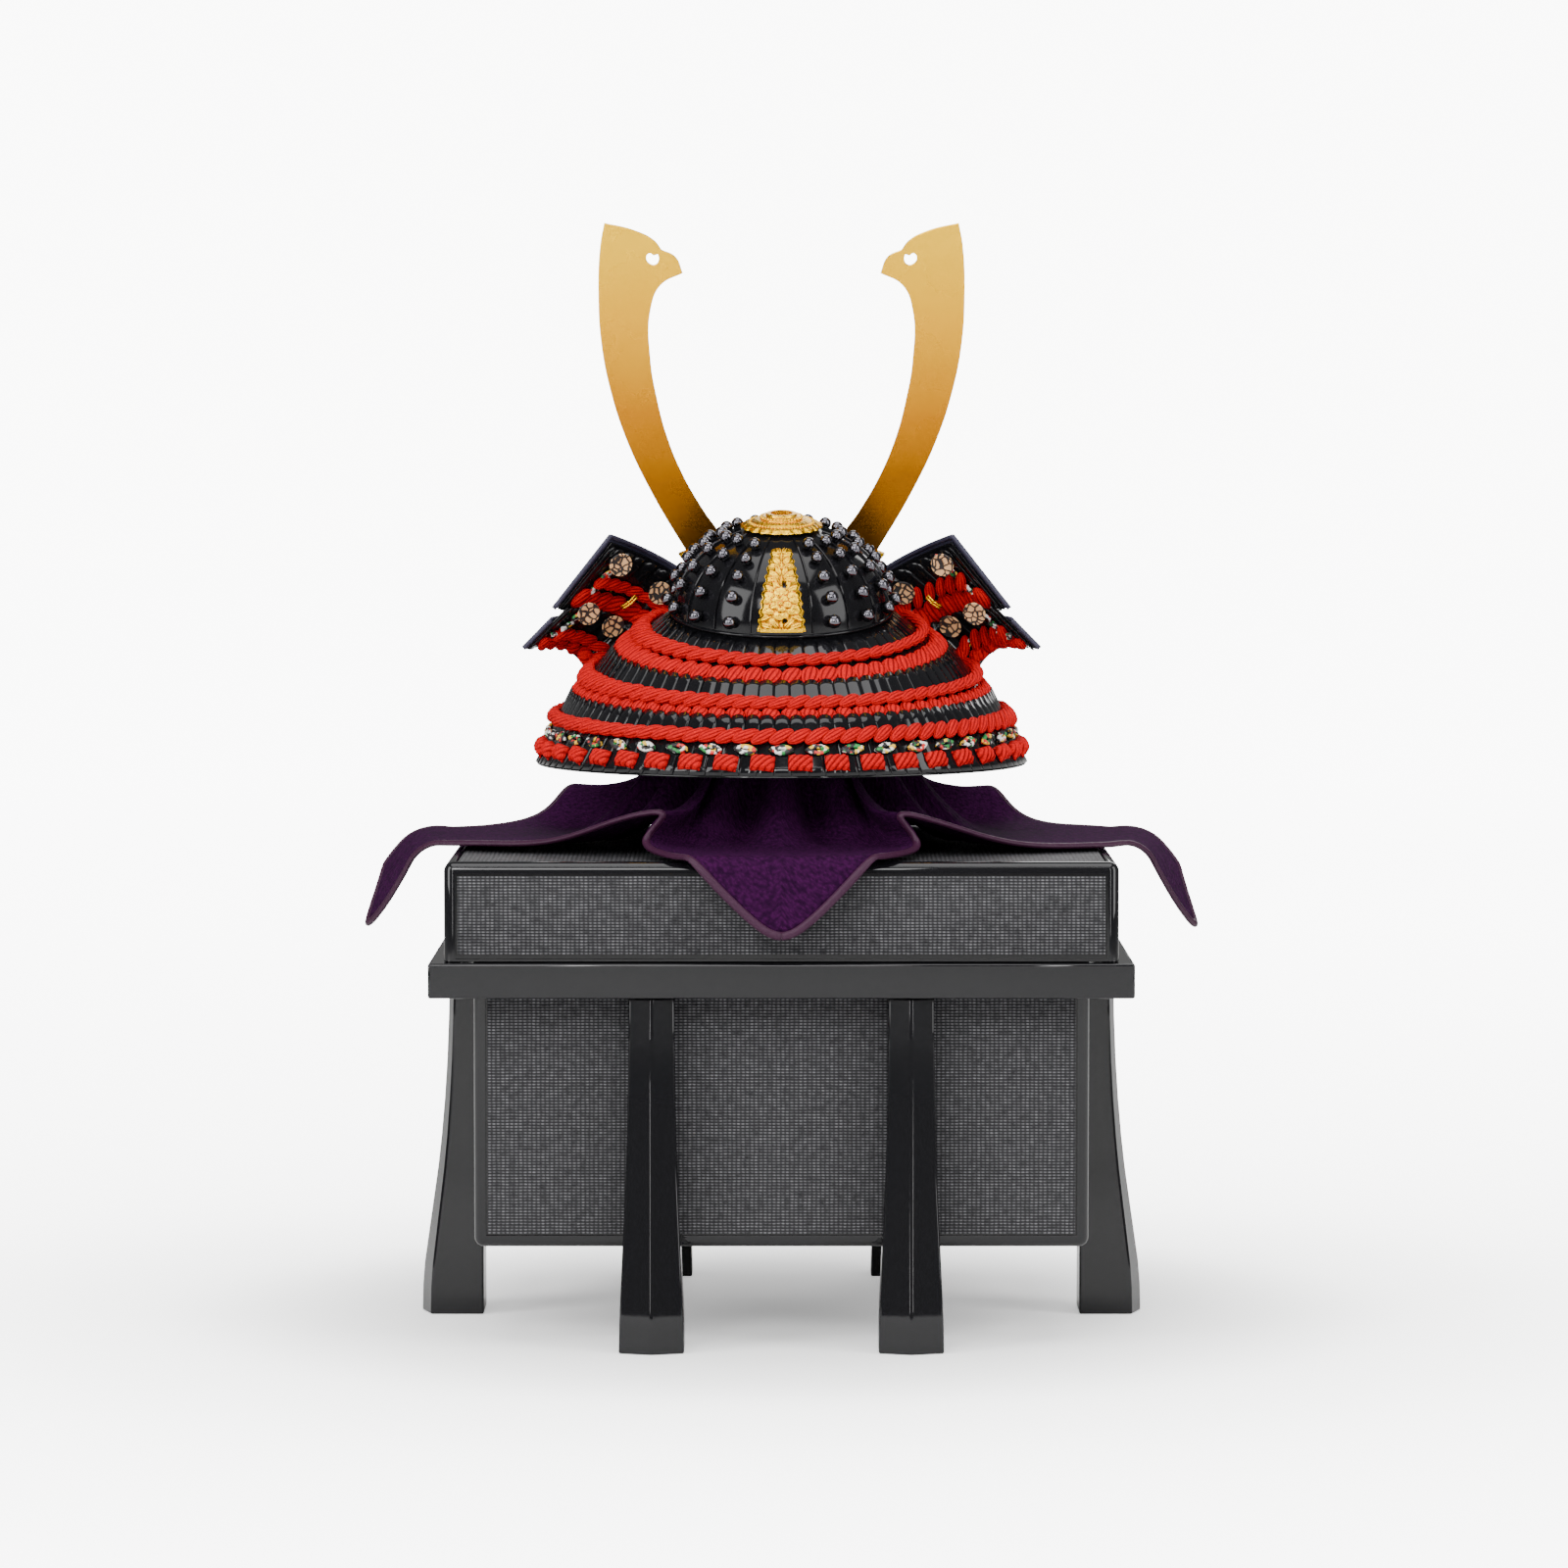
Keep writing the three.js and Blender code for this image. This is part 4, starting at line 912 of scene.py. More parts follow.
gold_plate = finish("gold plate", wire_horn_painted_reflection, Metallic=1.0)
for word, side in SIDES:
    bm = cut_plate([HORN, HEART], PLATE, 0.25)
    bmesh.ops.transform(bm, matrix=bowl_seat @ Matrix.Translation((0, HORN_STAND, 0)), verts=bm.verts)
    bmesh.ops.scale(bm, vec=(side, 1, 1), verts=bm.verts)
    make_piece(bm, "horn_plate_" + word, gold_plate, ["horn_" + word], sharp=12)

bm = bmesh.new()
for top, at in ((14, HORN_STAND + 1.5), (8, HORN_STAND - 1.5)):  # a leaf before the horns and one behind
    half = [(24, -1.3, CORNER), (36, -0.5, CORNER), (46.5, 13, CORNER), (28.5, 20, CORNER), (16, top * 0.75)]
    leaf = cut_plate([half + [(0, top)] + [(-x, *rest) for x, *rest in reversed(half)]], PLATE, 0.3)
    stamp(bm, as_mesh(leaf, "leaf"), Matrix.Translation((0, at, 0)))
block(bm, (38, 4.2, 1.6), (0, HORN_STAND + 0.6, -0.5))
bmesh.ops.transform(bm, matrix=bowl_seat, verts=bm.verts)
make_piece(bm, "crest_holder", cast_gold, ["horn_holder"], sharp=40)

# %% [markdown]
# The neck guard is three curved plates, one below the other. The upper two turn out and back at each side
# into a wing. Everything laced on a plate is placed by one function: how far down the plate, how far along
# it, and how far off its outer face. It follows the same edges as the measured model, whose driving sizes
# are repeated here.
# %% Neck guard: a place on a plate
FOLD_AT = 0.78  # the share of a plate that lies round the helmet, before its wing
RUN_ON = 8.0  # how far a wing's curve runs on straight
PAST_TIP = 45  # how far a whole share past the tip leads
GUARDS = {  # an oval is (half width, half depth, height at the back, height at the side)
    1: {"fold": 31, "top": (48.8, 50, 299.8, 309.6), "bottom": (74.5, 75.5, 279.3, 291.8),
        "wing top": ((75.7, 6, 339.7), 2.1, (-19.7, 38, -7.5)),
        "wing bottom": ((98.5, 6, 311.1), 5, (-18, 37, 1.4))},
    2: {"fold": 28, "under": (1, 0.9, 1), "bottom": (91.5, 91.5, 266.3, 273.7),
        "wing bottom": ((112.4, 2, 293.6), 6.8, (-16.9, 36, 6.9))},
    3: {"end": 113 * DEG, "under": (2, 0.93, 0.78), "bottom": (108.5, 107, 243.7, 244.2)},
}


def on_oval(oval, angle):
    wide, deep, back, side = oval
    return Vector((wide * sin(angle), -deep * cos(angle), mix(side, back, cos(angle))))


def edge_point(guard, oval, wing, share):
    """A point on a plate's edge: along its oval as far as the fold, then along the wing's curve."""
    if "end" in guard:
        return on_oval(oval, share * guard["end"])
    last = acos(-guard["fold"] / oval[1])
    if share <= FOLD_AT:
        return on_oval(oval, share / FOLD_AT * last)
    tip, rise, lean = wing
    start, edge = on_oval(oval, last), Vector(tip)
    heading = Vector((oval[0] * cos(last), oval[1] * sin(last), 0)).normalized()
    first = start + heading * RUN_ON + Vector((0, 0, rise))
    second = edge + Vector(lean)
    out = (share - FOLD_AT) / (1 - FOLD_AT)
    if out > 1:
        return edge + (edge - second).normalized() * (out - 1) * PAST_TIP
    keep = 1 - out
    return start * keep ** 3 + first * 3 * keep ** 2 * out + second * 3 * keep * out ** 2 + edge * out ** 3


@functools.lru_cache(maxsize=None)
def edges_of(number, share):
    """A plate's top and bottom edge, on its right half, at a share of its half length."""
    guard = GUARDS[number]
    bottom = edge_point(guard, guard["bottom"], guard.get("wing bottom"), share)
    if "under" not in guard:
        return edge_point(guard, guard["top"], guard["wing top"], share), bottom
    above, at, reach = guard["under"]
    return guard_place(above, at, share * reach, 3.0).translation, bottom


def guard_point(number, down, along):
    top, bottom = edges_of(number, abs(along))
    point = top + (bottom - top) * down
    return Vector((-point.x if along < 0 else point.x, point.y, point.z))


def guard_place(number, down, along, off=0.0):
    """A place on a plate: X runs along the row, Y up the plate, Z away from its laced side."""
    step = 0.001
    across = guard_point(number, down, along + step) - guard_point(number, down, along - step)
    up = (guard_point(number, down - step, along) - guard_point(number, down + step, along)).normalized()
    out = across.cross(up).normalized()
    return placed(guard_point(number, down, along) + out * off, up.cross(out), up, out)


def run_along(number, down, shares):
    """The length so far at each of the shares along a plate."""
    points = [guard_point(number, down, share) for share in shares]
    run = [0.0]
    for before, after in zip(points, points[1:]):
        run.append(run[-1] + (after - before).length)
    return run


def spaced(number, down, pitch, reach=1.0, shift=0.0):
    """Shares along a plate that lie a pitch apart at one height, on both sides of its middle."""
    steps = 500
    run = run_along(number, down, [reach * k / steps for k in range(steps + 1)])
    count = round(run[-1] / pitch - 0.5)
    pitch = run[-1] / (count + 0.5)
    half = [reach * bisect.bisect_left(run, (k + shift) * pitch) / steps for k in range(count + 1)]
    return sorted([-share for share in half if share > 0] + half)


def guard_sheet(number, top, bottom, left, right, off, columns, rows):
    """An open sheet that lies along part of a plate."""
    def surface(u, v):
        return guard_place(number, mix(bottom, top, v), mix(left, right, u), off).translation

    return grid_on(surface, columns, rows)


whole = [k / 200 for k in range(-200, 201)]
print("the plates are", [round(run_along(number, 0.5, whole)[-1]) for number in GUARDS], "mm long")

# %% [markdown]
# Each plate is made of narrow upright scales, each overlapping the next and rounded at its head, lacquered
# to a mirror. One scale is a small grid: its top edge follows a half circle, its surface bulges, and one
# side lifts over its neighbour. A plain strip behind closes the row, as the leather backing does.
# %% Neck guard: scales
SCALE_PITCH = 6.8
PLATE_ENDS = {1: (-0.04, 1.0), 2: (0.06, 1.0), 3: (0.06, 0.985)}  # the backing's top, the scales' bottom


def scale_row(number, bottom):
    bm = bmesh.new()
    shares = spaced(number, 0.5, SCALE_PITCH)
    for k, share in enumerate(shares):
        half = (shares[min(k + 1, len(shares) - 1)] - shares[max(k - 1, 0)]) / 4 * 1.1
        height = (guard_point(number, 0, share) - guard_point(number, bottom, share)).length
        head = SCALE_PITCH / 2 / height * bottom
        lean = random.uniform(-0.06, 0.06)

        def surface(u, v):
            across = 2 * u - 1
            crest = head * (1 - sqrt(max(0, 1 - (abs(across) * 0.97) ** 2)))
            off = 0.3 + (0.22 + lean) * across + 0.22 * (1 - across * across) - 0.25 * max(0, v - 0.8)
            return guard_place(number, mix(bottom, crest, v), share + half * across, off).translation

        grid_on(surface, 6, 7, bm)
    return bm


random.seed(11)
for number, (top, bottom) in PLATE_ENDS.items():
    bm = guard_sheet(number, top, 1.0, -1.0, 1.0, -0.35, 140, 6)
    backing = make_piece(bm, f"backing_{number}", guard_lacquer, weld=False)
    thicken(backing, 0.75)
    ease_edges(backing, 0.25)
    scales = make_piece(scale_row(number, bottom), f"scales_{number}", guard_lacquer,
                        [f"guard_{number}"], sharp=60, weld=False)
    thicken(scales, 0.6)

# %% [markdown]
# The red lacing shows as three thick twisted rows with hanging loops under the first two. A twisted row is
# a string of plump slanting lobes, each tucked behind the next, so one lobe is modelled with the ridges of
# its cords running lengthwise and stamped along the plate. Nothing here can slide, as each lobe is laced
# through the plate behind it.
# %% Lacing: twisted rows and hanging loops
ROPES = {"rope_1": (1, 0.48), "rope_2": (2, 0.62), "rope_3": (3, 0.38)}  # plate, how far down it
LOOPS = {  # plate, how far down it, pitch, half length, half depth
    "lacing_1": (1, 0.785, 8.2, 6.2, 2.1),
    "lacing_2": (2, 0.865, 7.8, 3.3, 1.8),
}
LOBE_PITCH = 7.3
ROW_REACH = 0.985  # the rows stop this far along a plate


def ridged_lobe(name, ridges, depth, twist):
    """A ball whose surface has ridges that run from pole to pole, with painted shade in the grooves between
    them.
    """
    bm = bmesh.new()
    painted_shade = painted_shade_layer(bm)
    bmesh.ops.create_uvsphere(bm, u_segments=4 * ridges, v_segments=8, radius=1)
    for vert in bm.verts:
        wave = cos(atan2(vert.co.y, vert.co.x) * ridges + vert.co.z * twist)
        # painted shade, deepest in the grooves
        vert[painted_shade] = max(0, -wave) ** 1.5
        vert.co.x *= 1 + depth * wave
        vert.co.y *= 1 + depth * wave
    return as_mesh(bm, name)


def lay(bm, lobe, place, slant, half_length, half_width, half_depth, dive=0.0):
    """Stamps a lobe on a place, its long axis slanting up from the row, one end diving behind the next."""
    turn = Matrix.Rotation((90 - slant) * DEG, 4, "Z") @ Matrix.Rotation(dive * DEG, 4, "X")
    size = Matrix.Diagonal((half_width, half_length, half_depth, 1))
    stamp(bm, lobe, place @ turn.inverted() @ size @ Matrix.Rotation(-90 * DEG, 4, "X"))


def make_cord(bm, name, stands_for):
    make_piece(bm, name, red_cord, stands_for, sharp=180, weld=False)


cord_lobe = ridged_lobe("cord lobe", 9, 0.09, 1.3)
random.seed(23)
for name, (number, down) in ROPES.items():
    bm = bmesh.new()
    shares = spaced(number, down, LOBE_PITCH, ROW_REACH)
    for share in shares:
        on_wing = "end" not in GUARDS[number] and abs(share) > FOLD_AT + 0.02
        place = guard_place(number, down + random.uniform(-0.008, 0.008), share, 2.6)
        slant = random.uniform(26, 34) + (14 if on_wing else 0)
        long, wide = (5.0, 2.3) if on_wing else (6.3, 2.65)
        lay(bm, cord_lobe, place, slant, long * random.uniform(0.96, 1.05), wide, 2.4, random.uniform(11, 16))
    make_cord(bm, name + "_twisted", [name])
    print(name, "is", round(run_along(number, down, shares)[-1]), "mm long,", len(shares), "lobes")

fan_lobe = ridged_lobe("fan lobe", 10, 0.1, 0.6)
for name, (number, down, pitch, half_length, half_depth) in LOOPS.items():
    bm = bmesh.new()
    for share in spaced(number, down, pitch, ROW_REACH, 0.5):
        slant = random.uniform(52, 74)
        length = half_length * random.uniform(0.92, 1.05)
        lay(bm, fan_lobe, guard_place(number, down, share, 1.5), slant, length, pitch * 0.54, half_depth)
    make_cord(bm, name + "_loops", [name])

# %% [markdown]
# The bottom plate ends in a row of square stitches, each three or four cords lying side by side over the
# plate, and above them a row of small eye-shaped knots in a cord of five colours. A stitch is a pillow with
# slanting ridges. A knot is two short arcs that cross at their ends. The middle plate's wing ends in the
# same two rows, set closer.
# %% Lacing: square stitches and knots
def stitch_ridge(x, y):
    return cos((x * 5.35 - y * 3.6) * 2.1)


def stitch_mesh():
    bm = bmesh.new()
    painted_shade = painted_shade_layer(bm)

    def pillow(u, v):
        x, y = 2 * u - 1, 2 * v - 1
        puff = (max(0, 1 - abs(x) ** 3.2) * max(0, 1 - abs(y) ** 3.2)) ** 0.5
        waist = 0.1 * (1 - x * x) * max(0, -y)
        return Vector((x * (1 - 0.04 * abs(y)), y + waist, puff + 0.16 * stitch_ridge(x, y) * puff))

    grid_on(pillow, 20, 12, bm)
    for vert in bm.verts:
        # painted shade in the grooves between the stitch's cords
        vert[painted_shade] = max(0, -stitch_ridge(vert.co.x, vert.co.y)) ** 1.5
    face_towards(bm, (0, 0, 9))
    for vert in verts_among(bmesh.ops.extrude_face_region(bm, geom=list(bm.faces))["geom"]):
        vert.co.z = -0.15
    bmesh.ops.recalc_face_normals(bm, faces=bm.faces)
    return as_mesh(bm, "stitch")


def knot_mesh():
    """Two crossing arcs of round cord, one over the other at each end."""
    half_length, half_height, lift = 4.1, 1.45, 0.35
    bm = bmesh.new()
    out = Vector((0, 0, 1))
    for side in (1, -1):
        steps = []
        for k in range(11):
            t = (k / 10 * 2 - 1) * 1.12
            at = Vector((half_length * t, side * (half_height * (1 - t * t)), 0.9 + side * lift * t))
            heading = Vector((half_length, side * -2 * half_height * t, side * lift)).normalized()
            steps.append(placed(at, heading.cross(out).normalized(), out, heading))
        sweep(bm, round_section(1.1, 1), steps)
    bmesh.ops.recalc_face_normals(bm, faces=bm.faces)
    return as_mesh(bm, "knot")


def wire_braid(tree, place):
    cells = node(tree, "TexVoronoi", {"Vector": place, "Scale": 620.0}).outputs
    pick = node(tree, "SeparateColor", {0: cells["Color"]}).outputs[0]
    black = (0.008, 0.008, 0.01)
    color = ramp(tree, pick, [
        (0.0, black), (0.34, (0.8, 0.8, 0.76)), (0.56, (0.01, 0.2, 0.04)), (0.7, black),
        (0.78, (0.6, 0.015, 0.012)), (0.89, (0.78, 0.48, 0.03)),
    ], "CONSTANT")
    return {"Base Color": color, "Normal": bumps(tree, cells["Distance"], -0.0003)}


def spun(degrees):
    return Matrix.Rotation(degrees * DEG, 4, "Z")


STITCH_PITCH = 15.6
WING_KNOTS = {1: (0.12, 0.36, 0.6, 0.84), 2: (0.12, 0.4)}  # how far down the wing's edge
braid_cord = finish("five colour cord", wire_braid, Roughness=0.6)
stitch, knot = stitch_mesh(), knot_mesh()
bm, knots = bmesh.new(), bmesh.new()
shares = spaced(3, 0.8, STITCH_PITCH / 2, ROW_REACH)
for k, share in enumerate(shares):
    if (k - len(shares) // 2) % 2:
        place = guard_place(3, 0.79, share, 1.0)
        size = Matrix.Diagonal((5.4 * random.uniform(0.96, 1.03), 3.7, 3.1, 1))
        stamp(bm, stitch, place @ spun(random.uniform(-4, 4)) @ size)
    else:
        stamp(knots, knot, guard_place(3, 0.585, share, 0.8) @ spun(random.uniform(-6, 6)))
for side in (-1, 1):
    for share in spaced(2, 0.85, 8.6):
        if FOLD_AT + 0.035 < side * share < ROW_REACH:
            stamp(bm, stitch, guard_place(2, 0.86, share, 0.9) @ Matrix.Diagonal((3.5, 3.0, 2.2, 1)))
            stamp(knots, knot, guard_place(2, 0.63, share + 0.012 * side, 1.6) @ Matrix.Scale(0.72, 4))
    for number, downs in WING_KNOTS.items():
        for down in downs:
            place = guard_place(number, down, side * 0.978, 1.2)
            stamp(knots, knot, place @ spun(90 + 24 * side) @ Matrix.Scale(0.8, 4))
make_cord(bm, "square_stitches", ["stitches"])
make_piece(knots, "knots", braid_cord, sharp=180, weld=False)

# %% [markdown]
# A wing's back and its edge are faced with navy leather, turned over the edge as a soft roll. The facing is
# a thickened sheet on the plate's inner side, and the roll is a round section swept along the facing's free
# edges.
# %% Wings: leather facings
FACINGS = {"cover_upper": (1, -0.1, 1.06), "cover_lower": (2, 0.3, 1.03)}  # plate, top edge, how far out
FACING_OFF = -1.55


def wing_at(side, out):
    """A share along a plate that lies part of the way from the wing's fold to its tip."""
    return side * mix(FOLD_AT, 1, out)


def frame_along(points, outs):
    """Places along a line of points: Z along the line, Y towards the directions given."""
    places = []
    for k, point in enumerate(points):
        heading = (points[min(k + 1, len(points) - 1)] - points[max(k - 1, 0)]).normalized()
        side = heading.cross(outs[k]).normalized()
        places.append(placed(point, side, heading.cross(side).normalized(), heading))
    return places


for name, (number, top, last) in FACINGS.items():
    for word, side in SIDES:
        inner, outer = wing_at(side, 0.32), wing_at(side, last)
        bm = guard_sheet(number, top, 1.0, inner, outer, FACING_OFF, 36, 16)
        face_towards(bm, guard_place(number, 0.5, outer, 60).translation)
        piece = f"{name}_{word}"
        sheet = make_piece(bm, piece + "_facing", navy_leather, [piece], weld=False)
        thicken(sheet, 1.2)
        rim = [(mix(top, 1.0, k / 16), outer) for k in range(1, 17)]
        if number == 1:  # the upper facing's top edge is free too
            rim = [(top, mix(inner, outer, k / 30)) for k in range(31)] + rim
        spots = [guard_place(number, down, share, FACING_OFF - 0.05) for down, share in rim]
        outs = [spot.to_3x3() @ Vector((0, 0, 1)) for spot in spots]
        roll = swept(round_section(1.05, 1.05), frame_along([spot.translation for spot in spots], outs))
        make_piece(roll, piece + "_roll", navy_leather, sharp=180)

# %% [markdown]
# Four washers of tanned leather lie on the lacing of each wing, printed with loose black leaf shapes, and a
# gilt split pin is pushed through beside them. Each washer is a slightly dished disc, and the outer two
# hang loose on their cord. On the wing's other side a gilt rosette covers the fixing.
# %% Wings: washers, pins and rosettes
WASHERS = [(1, 0.13, 0.95), (1, 0.3, 0.48), (2, -0.1, 0.96), (2, 0.16, 0.58)]  # plate, down, out
WASHER_RADIUS, WASHER_THICK, DISH = 5.3, 0.8, 0.3
WASHER_PROFILE = [
    (0.001, 0), (WASHER_RADIUS * 0.7, 0), (WASHER_RADIUS - 0.2, DISH * 0.6),
    (WASHER_RADIUS, DISH + WASHER_THICK * 0.4), (WASHER_RADIUS - 0.25, DISH + WASHER_THICK),
    (WASHER_RADIUS * 0.6, WASHER_THICK), (0.001, WASHER_THICK * 0.85),
]
ROSETTE_PROFILE = [(0.001, 0), (6.4, 0), (7, 0.4), (6.9, 0.9), (6.0, 1.5), (4.2, 1.0), (3.2, 1.1), (2.6, 1.6),
                   (0.001, 1.6)]
BEHIND_FACING = -1.1 - 1.2 - 0.45 - 0.8
PIN_BOW = [(y, 0.9 * cos(y / 4 * pi / 2)) for y in (-4, -2.6, -1.2, 0, 1.2, 2.6, 4)]


def wire_printed(tree, place):
    bent = node(tree, "TexNoise", {"Vector": place, "Scale": 260.0, "Detail": 1.0}).outputs["Color"]
    pulled = node(tree, "VectorMath", {0: bent, 1: (0.0022, 0.0022, 0.0022)}, operation="MULTIPLY").outputs[0]
    moved = node(tree, "VectorMath", {0: place, 1: pulled}, operation="ADD").outputs[0]
    leaf = node(tree, "TexVoronoi", {"Vector": moved, "Scale": 330.0}, feature="DISTANCE_TO_EDGE")
    grain = clouds(tree, place, 1400.0, 2.0)
    tan = blend(tree, grain, (0.56, 0.28, 0.11), (0.8, 0.48, 0.24))
    color = blend(tree, stretch(tree, leaf.outputs["Distance"], 0.1, 0.15), (0.012, 0.01, 0.01), tan)
    return {"Base Color": color, "Normal": bumps(tree, grain, 0.0001)}


def make_washer(name, place, loose):
    if loose:
        face = (place.to_3x3() @ Vector((0, 0, 1)) * 0.45 + Vector((0, -0.55, 0))).normalized()
        right = Vector((0, 0, 1)).cross(face).normalized()
        place = placed(place.translation + face * 0.8, right, face.cross(right), face)
    bm = bmesh.new()
    lathe(bm, WASHER_PROFILE, 36)
    bmesh.ops.transform(bm, matrix=place, verts=bm.verts)
    make_piece(bm, name + "_disc", tan_leather, [name], sharp=50)


def make_split_pin(name, place):
    bm = bmesh.new()
    for offset in (-0.75, 0.75):
        leg = place @ Matrix.Translation((offset, 0, 0))
        section = [(x, 0, y) for x, y, _ in round_section(0.65, 0.65)]
        sweep(bm, section, [leg @ Matrix.Translation((0, y, z)) for y, z in PIN_BOW])
    make_piece(bm, name, cast_gold, sharp=80)


def make_rosette(name, place, stands_for):
    bm = bmesh.new()
    lathe(bm, ROSETTE_PROFILE, 64)
    for vert in bm.verts:
        radius, turn = hypot(vert.co.x, vert.co.y), atan2(vert.co.y, vert.co.x)
        if radius > 3.5 and vert.co.z > 0.3:
            petal = abs(cos(turn * 8))
            vert.co.z *= 0.72 + 0.28 * petal
            vert.co.xy *= 0.95 + 0.05 * petal
    bmesh.ops.transform(bm, matrix=place, verts=bm.verts)
    make_piece(bm, name, cast_gold, [stands_for], sharp=60)


tan_leather = finish("printed tan leather", wire_printed, Roughness=0.55)
for word, side in SIDES:
    for k, (number, down, out) in enumerate(WASHERS):
        place = guard_place(number, down, wing_at(side, out), 6.2)
        make_washer(f"washer_{word}_{k + 1}", place, loose=out > 0.9)
    make_split_pin("split_pin_" + word, guard_place(1, 0.62, wing_at(side, 0.62), 5.0))
    back = guard_place(1, 0.55, wing_at(side, 0.66), BEHIND_FACING) @ Matrix.Rotation(pi, 4, "X")
    make_rosette("rosette_" + word, back, "crest_stud_" + word)

# %% [markdown]
# The cloth is a square of purple crepe with a narrow satin hem, laid corner to the front over the post.
# Crepe is limp but keeps soft rounded folds, so it hangs as a tent that flattens on the lid, with a fold
# running out between each two corners and each corner bending down past the lid's edge. One function lays
# the flat square out; a fine grid follows it, then gets its wall.
# %% Cloth: how it lies
POST_TOP = box_in_mm("post")[1].z
LID_HIGH = box_in_mm("chest_lid")[1]
CLOTH_THICK, HEM = 1.5, 4.2
REACH_FRONT, REACH_BACK, REACH_SIDE = 242.0, 252.0, 282.0
NECK, SPREAD, SHARPNESS = 13.5, 106.0, 2.6  # the tent's radius at the post and at its foot, and how it flares
FOLDS = [(45, 14, 16, 30), (128, 13, 18, 14)]  # flat angle, half width, height, how far it leans forward
BEND_STEPS = 16
CORNER_ROUND = 36  # the higher, the squarer the cloth's corners
CURL = 0.2  # how much a side flap curls outwards towards its rear edge
RUN_STEP, RUN_STEPS = 0.75, 360  # the length down the tent's slope is added up in these steps
SIDE_EDGE, FRONT_EDGE = LID_HIGH.x + CLOTH_THICK + HEM, LID_HIGH.y + CLOTH_THICK + 1.4 * HEM
CLOTH_TOP = POST_TOP + 0.3 + CLOTH_THICK
CLOTH_FLOOR = LID_HIGH.z + 0.3 + CLOTH_THICK + 1.6


def tent_height(radius):
    if radius <= NECK:
        return CLOTH_TOP
    return mix(CLOTH_FLOOR, CLOTH_TOP, (1 - min(1, (radius - NECK) / (SPREAD - NECK))) ** SHARPNESS)


runs = [0.0]
for k in range(1, RUN_STEPS + 1):
    rise = tent_height(k * RUN_STEP) - tent_height(k * RUN_STEP - RUN_STEP)
    runs.append(runs[-1] + hypot(RUN_STEP, rise))


def radius_at(length):
    """How far from the post's axis a point of the flat cloth comes to lie."""
    k = max(1, min(RUN_STEPS, bisect.bisect_left(runs, length)))
    return RUN_STEP * (k - 1 + (length - runs[k - 1]) / (runs[k] - runs[k - 1]))


def bend_down(value, edge, slope, soft, flick=0.0):
    """How far a part beyond an edge keeps going out, and how far it drops, bending over a soft corner."""
    beyond = abs(value) - edge
    if beyond <= 0:
        return value, 0.0, 0.0
    out = drop = 0.0
    for k in range(BEND_STEPS):
        at = (k + 0.5) / BEND_STEPS * beyond
        turn = slope * min(1, at / soft) ** 0.8 - flick * max(0, at - soft) / 40
        out += beyond / BEND_STEPS * cos(turn)
        drop += beyond / BEND_STEPS * sin(turn)
    return copysign(edge + out, value), drop, beyond


def flat_point(u, v):
    """The flat square with its corners rounded, a corner to the front."""
    across, along = 2 * u - 1, 2 * v - 1
    near, far = sorted((abs(across), abs(along)))
    rounded = 1.02 / (1 + (near / max(far, 1e-6)) ** CORNER_ROUND) ** (1 / CORNER_ROUND)
    x, y = (across - along) / 2 * rounded, (across + along) / 2 * rounded
    return Vector((x * REACH_SIDE, y * (REACH_FRONT if y < 0 else REACH_BACK), 0))


def folds_at(angle, radius):
    """How high the folds stand and how far they lean, at an angle from the front corner."""
    swell = clamp((radius - 18) / 75) * clamp((150 - radius) / 40)
    swell = swell * swell * (3 - 2 * swell)
    lift = lean = 0.0
    for middle, width, height, forward in FOLDS:
        crest = swell * exp(-(((angle - middle) / width) ** 2))
        lift += height * crest
        lean += forward * crest
    return lift, lean


def cloth_point(u, v):
    flat = flat_point(u, v)
    radius = radius_at(max(1e-6, flat.length))
    side = -1 if flat.x < 0 else 1
    angle = atan2(abs(flat.x), -flat.y) / DEG
    lift, lean = folds_at(angle, radius)
    turned = side * ((angle + 7 * sin(4 * angle * DEG)) * DEG - lean / max(radius, 30))
    ripple = noise.noise(Vector((sin(turned) * 2.4, cos(turned) * 2.4, radius * 0.012)))
    z = tent_height(radius) + lift + 2.6 * max(0, ripple) * clamp((radius - 15) / 50)
    gathers = clamp(min((radius - 15) / 12, (90 - radius) / 32))
    z += 11 * cos(14 * turned) * gathers
    x, drop_x, beyond = bend_down(radius * sin(turned), SIDE_EDGE, 63 * DEG, 17, 14 * DEG)
    y, drop_y, _ = bend_down(-radius * cos(turned), FRONT_EDGE, 82 * DEG, 9)
    left_over = max(0, REACH_SIDE * 1.02 - flat.length)
    curl = CURL * max(0, y + left_over) * min(1, beyond / 30)  # the flap's rear edge stands further out
    return Vector((x + copysign(0.8 * curl, x), y, z - drop_x - drop_y + 0.6 * curl))


# %% [markdown]
# Crepe is matt and pebbled, because its yarns are overtwisted. The pebbles are cells on the flat sheet's
# own map, wider one way; they raise the cloth, and the purple is painted darker where they sink in, as
# painted shade. The hem is a flattened round section of smoother satin, swept round the sheet's edge, and
# it goes wherever the cloth goes.
# %% Cloth: the sheet and its hem
CLOTH_STEPS, HEM_STEPS = 150, 120


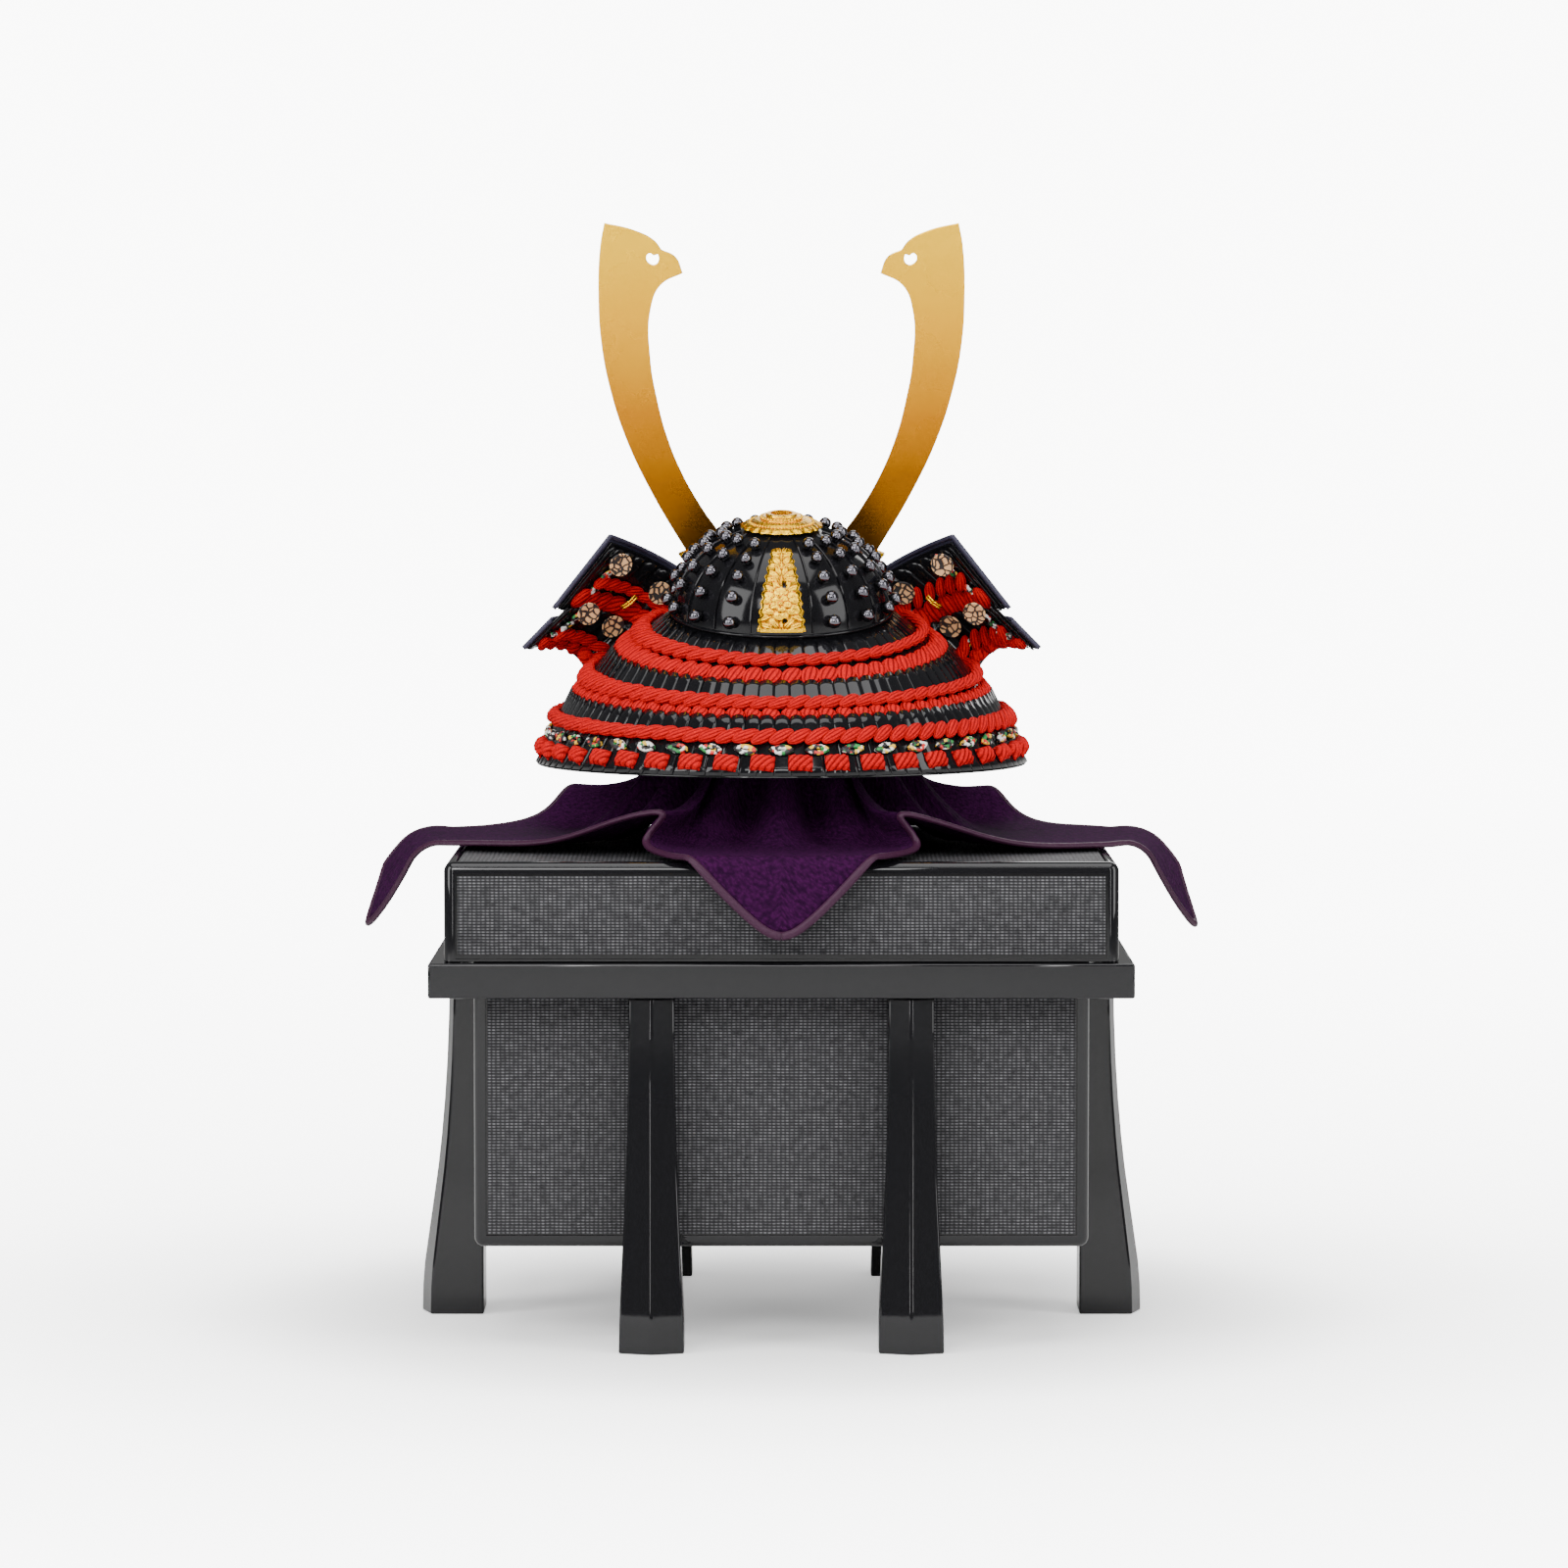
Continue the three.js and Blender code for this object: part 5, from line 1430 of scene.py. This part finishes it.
def wire_crepe(tree, place):
    flat_place = node(tree, "TexCoord", {}).outputs["UV"]
    squash = node(tree, "Mapping", {"Vector": flat_place, "Scale": (300.0, 190.0, 1.0)}).outputs[0]
    pebble = node(tree, "TexVoronoi", {"Vector": squash, "Scale": 1.0}, feature="SMOOTH_F1").outputs
    height = math_node(tree, "MULTIPLY_ADD", clouds(tree, place, 900.0, 3.0), 0.5, pebble["Distance"])
    # painted shade: the purple turns darker where the pebbles sink in
    pebble_shade = stretch(tree, height, 0.35, 0.95)
    color = blend(tree, pebble_shade, (0.033, 0.0026, 0.034), (0.012, 0.001, 0.014))
    return {"Base Color": color, "Normal": bumps(tree, height, -0.0005, 0.8)}


def wire_satin(tree, place):
    return {"Normal": bumps(tree, clouds(tree, place, 500.0, 2.0), 0.0002)}


crepe = finish("purple crepe", wire_crepe, Roughness=0.9, Specular_IOR_Level=0.05)
plum = (0.027, 0.003, 0.019)
satin = finish("plum satin", wire_satin, Base_Color=plum, Roughness=0.5, Specular_IOR_Level=0.25)
bm = grid_on(cloth_point, CLOTH_STEPS, CLOTH_STEPS)
flat_map = bm.loops.layers.uv.new("flat")
bm.verts.index_update()
for face in bm.faces:
    for loop in face.loops:
        row, column = divmod(loop.vert.index, CLOTH_STEPS + 1)
        loop[flat_map].uv = (column / CLOTH_STEPS, row / CLOTH_STEPS)
face_towards(bm, (0, 0, 2000))
cloth = make_piece(bm, "crepe_cloth", crepe, ["cloth"], sharp=180, weld=False)
thicken(cloth, CLOTH_THICK)

going = [k / HEM_STEPS for k in range(HEM_STEPS)]
rim = [(s, 0) for s in going] + [(1, s) for s in going]
rim += [(1 - s, 1) for s in going] + [(0, 1 - s) for s in going]
edge = [cloth_point(u, v) - Vector((0, 0, CLOTH_THICK / 2)) for u, v in rim]
inside = [cloth_point(mix(u, 0.5, 0.02), mix(v, 0.5, 0.02)) - point for (u, v), point in zip(rim, edge)]
hem = swept(round_section(1.25, 1.9), frame_along(edge + edge[:1], inside + inside[:1]))
hem = make_piece(hem, "satin_hem", satin, sharp=180)

# %% [markdown]
# The post under the cloth is plain turned wood, never seen from outside, so the measured solid stays and
# only gets a finish: long pale grain with darker streaks.
# %% Post
def wire_wood(tree, place):
    along = node(tree, "Mapping", {"Vector": place, "Scale": (90.0, 90.0, 9.0)}).outputs[0]
    grain = clouds(tree, along, 4.0, 5.0)
    color = blend(tree, grain, (0.62, 0.4, 0.2), (0.34, 0.19, 0.08))
    return {"Base Color": color, "Normal": bumps(tree, grain, 0.0002)}


dress_solid("post", finish("post wood", wire_wood, Roughness=0.55))
print("the post wears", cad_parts["post"].data.materials[0].name)
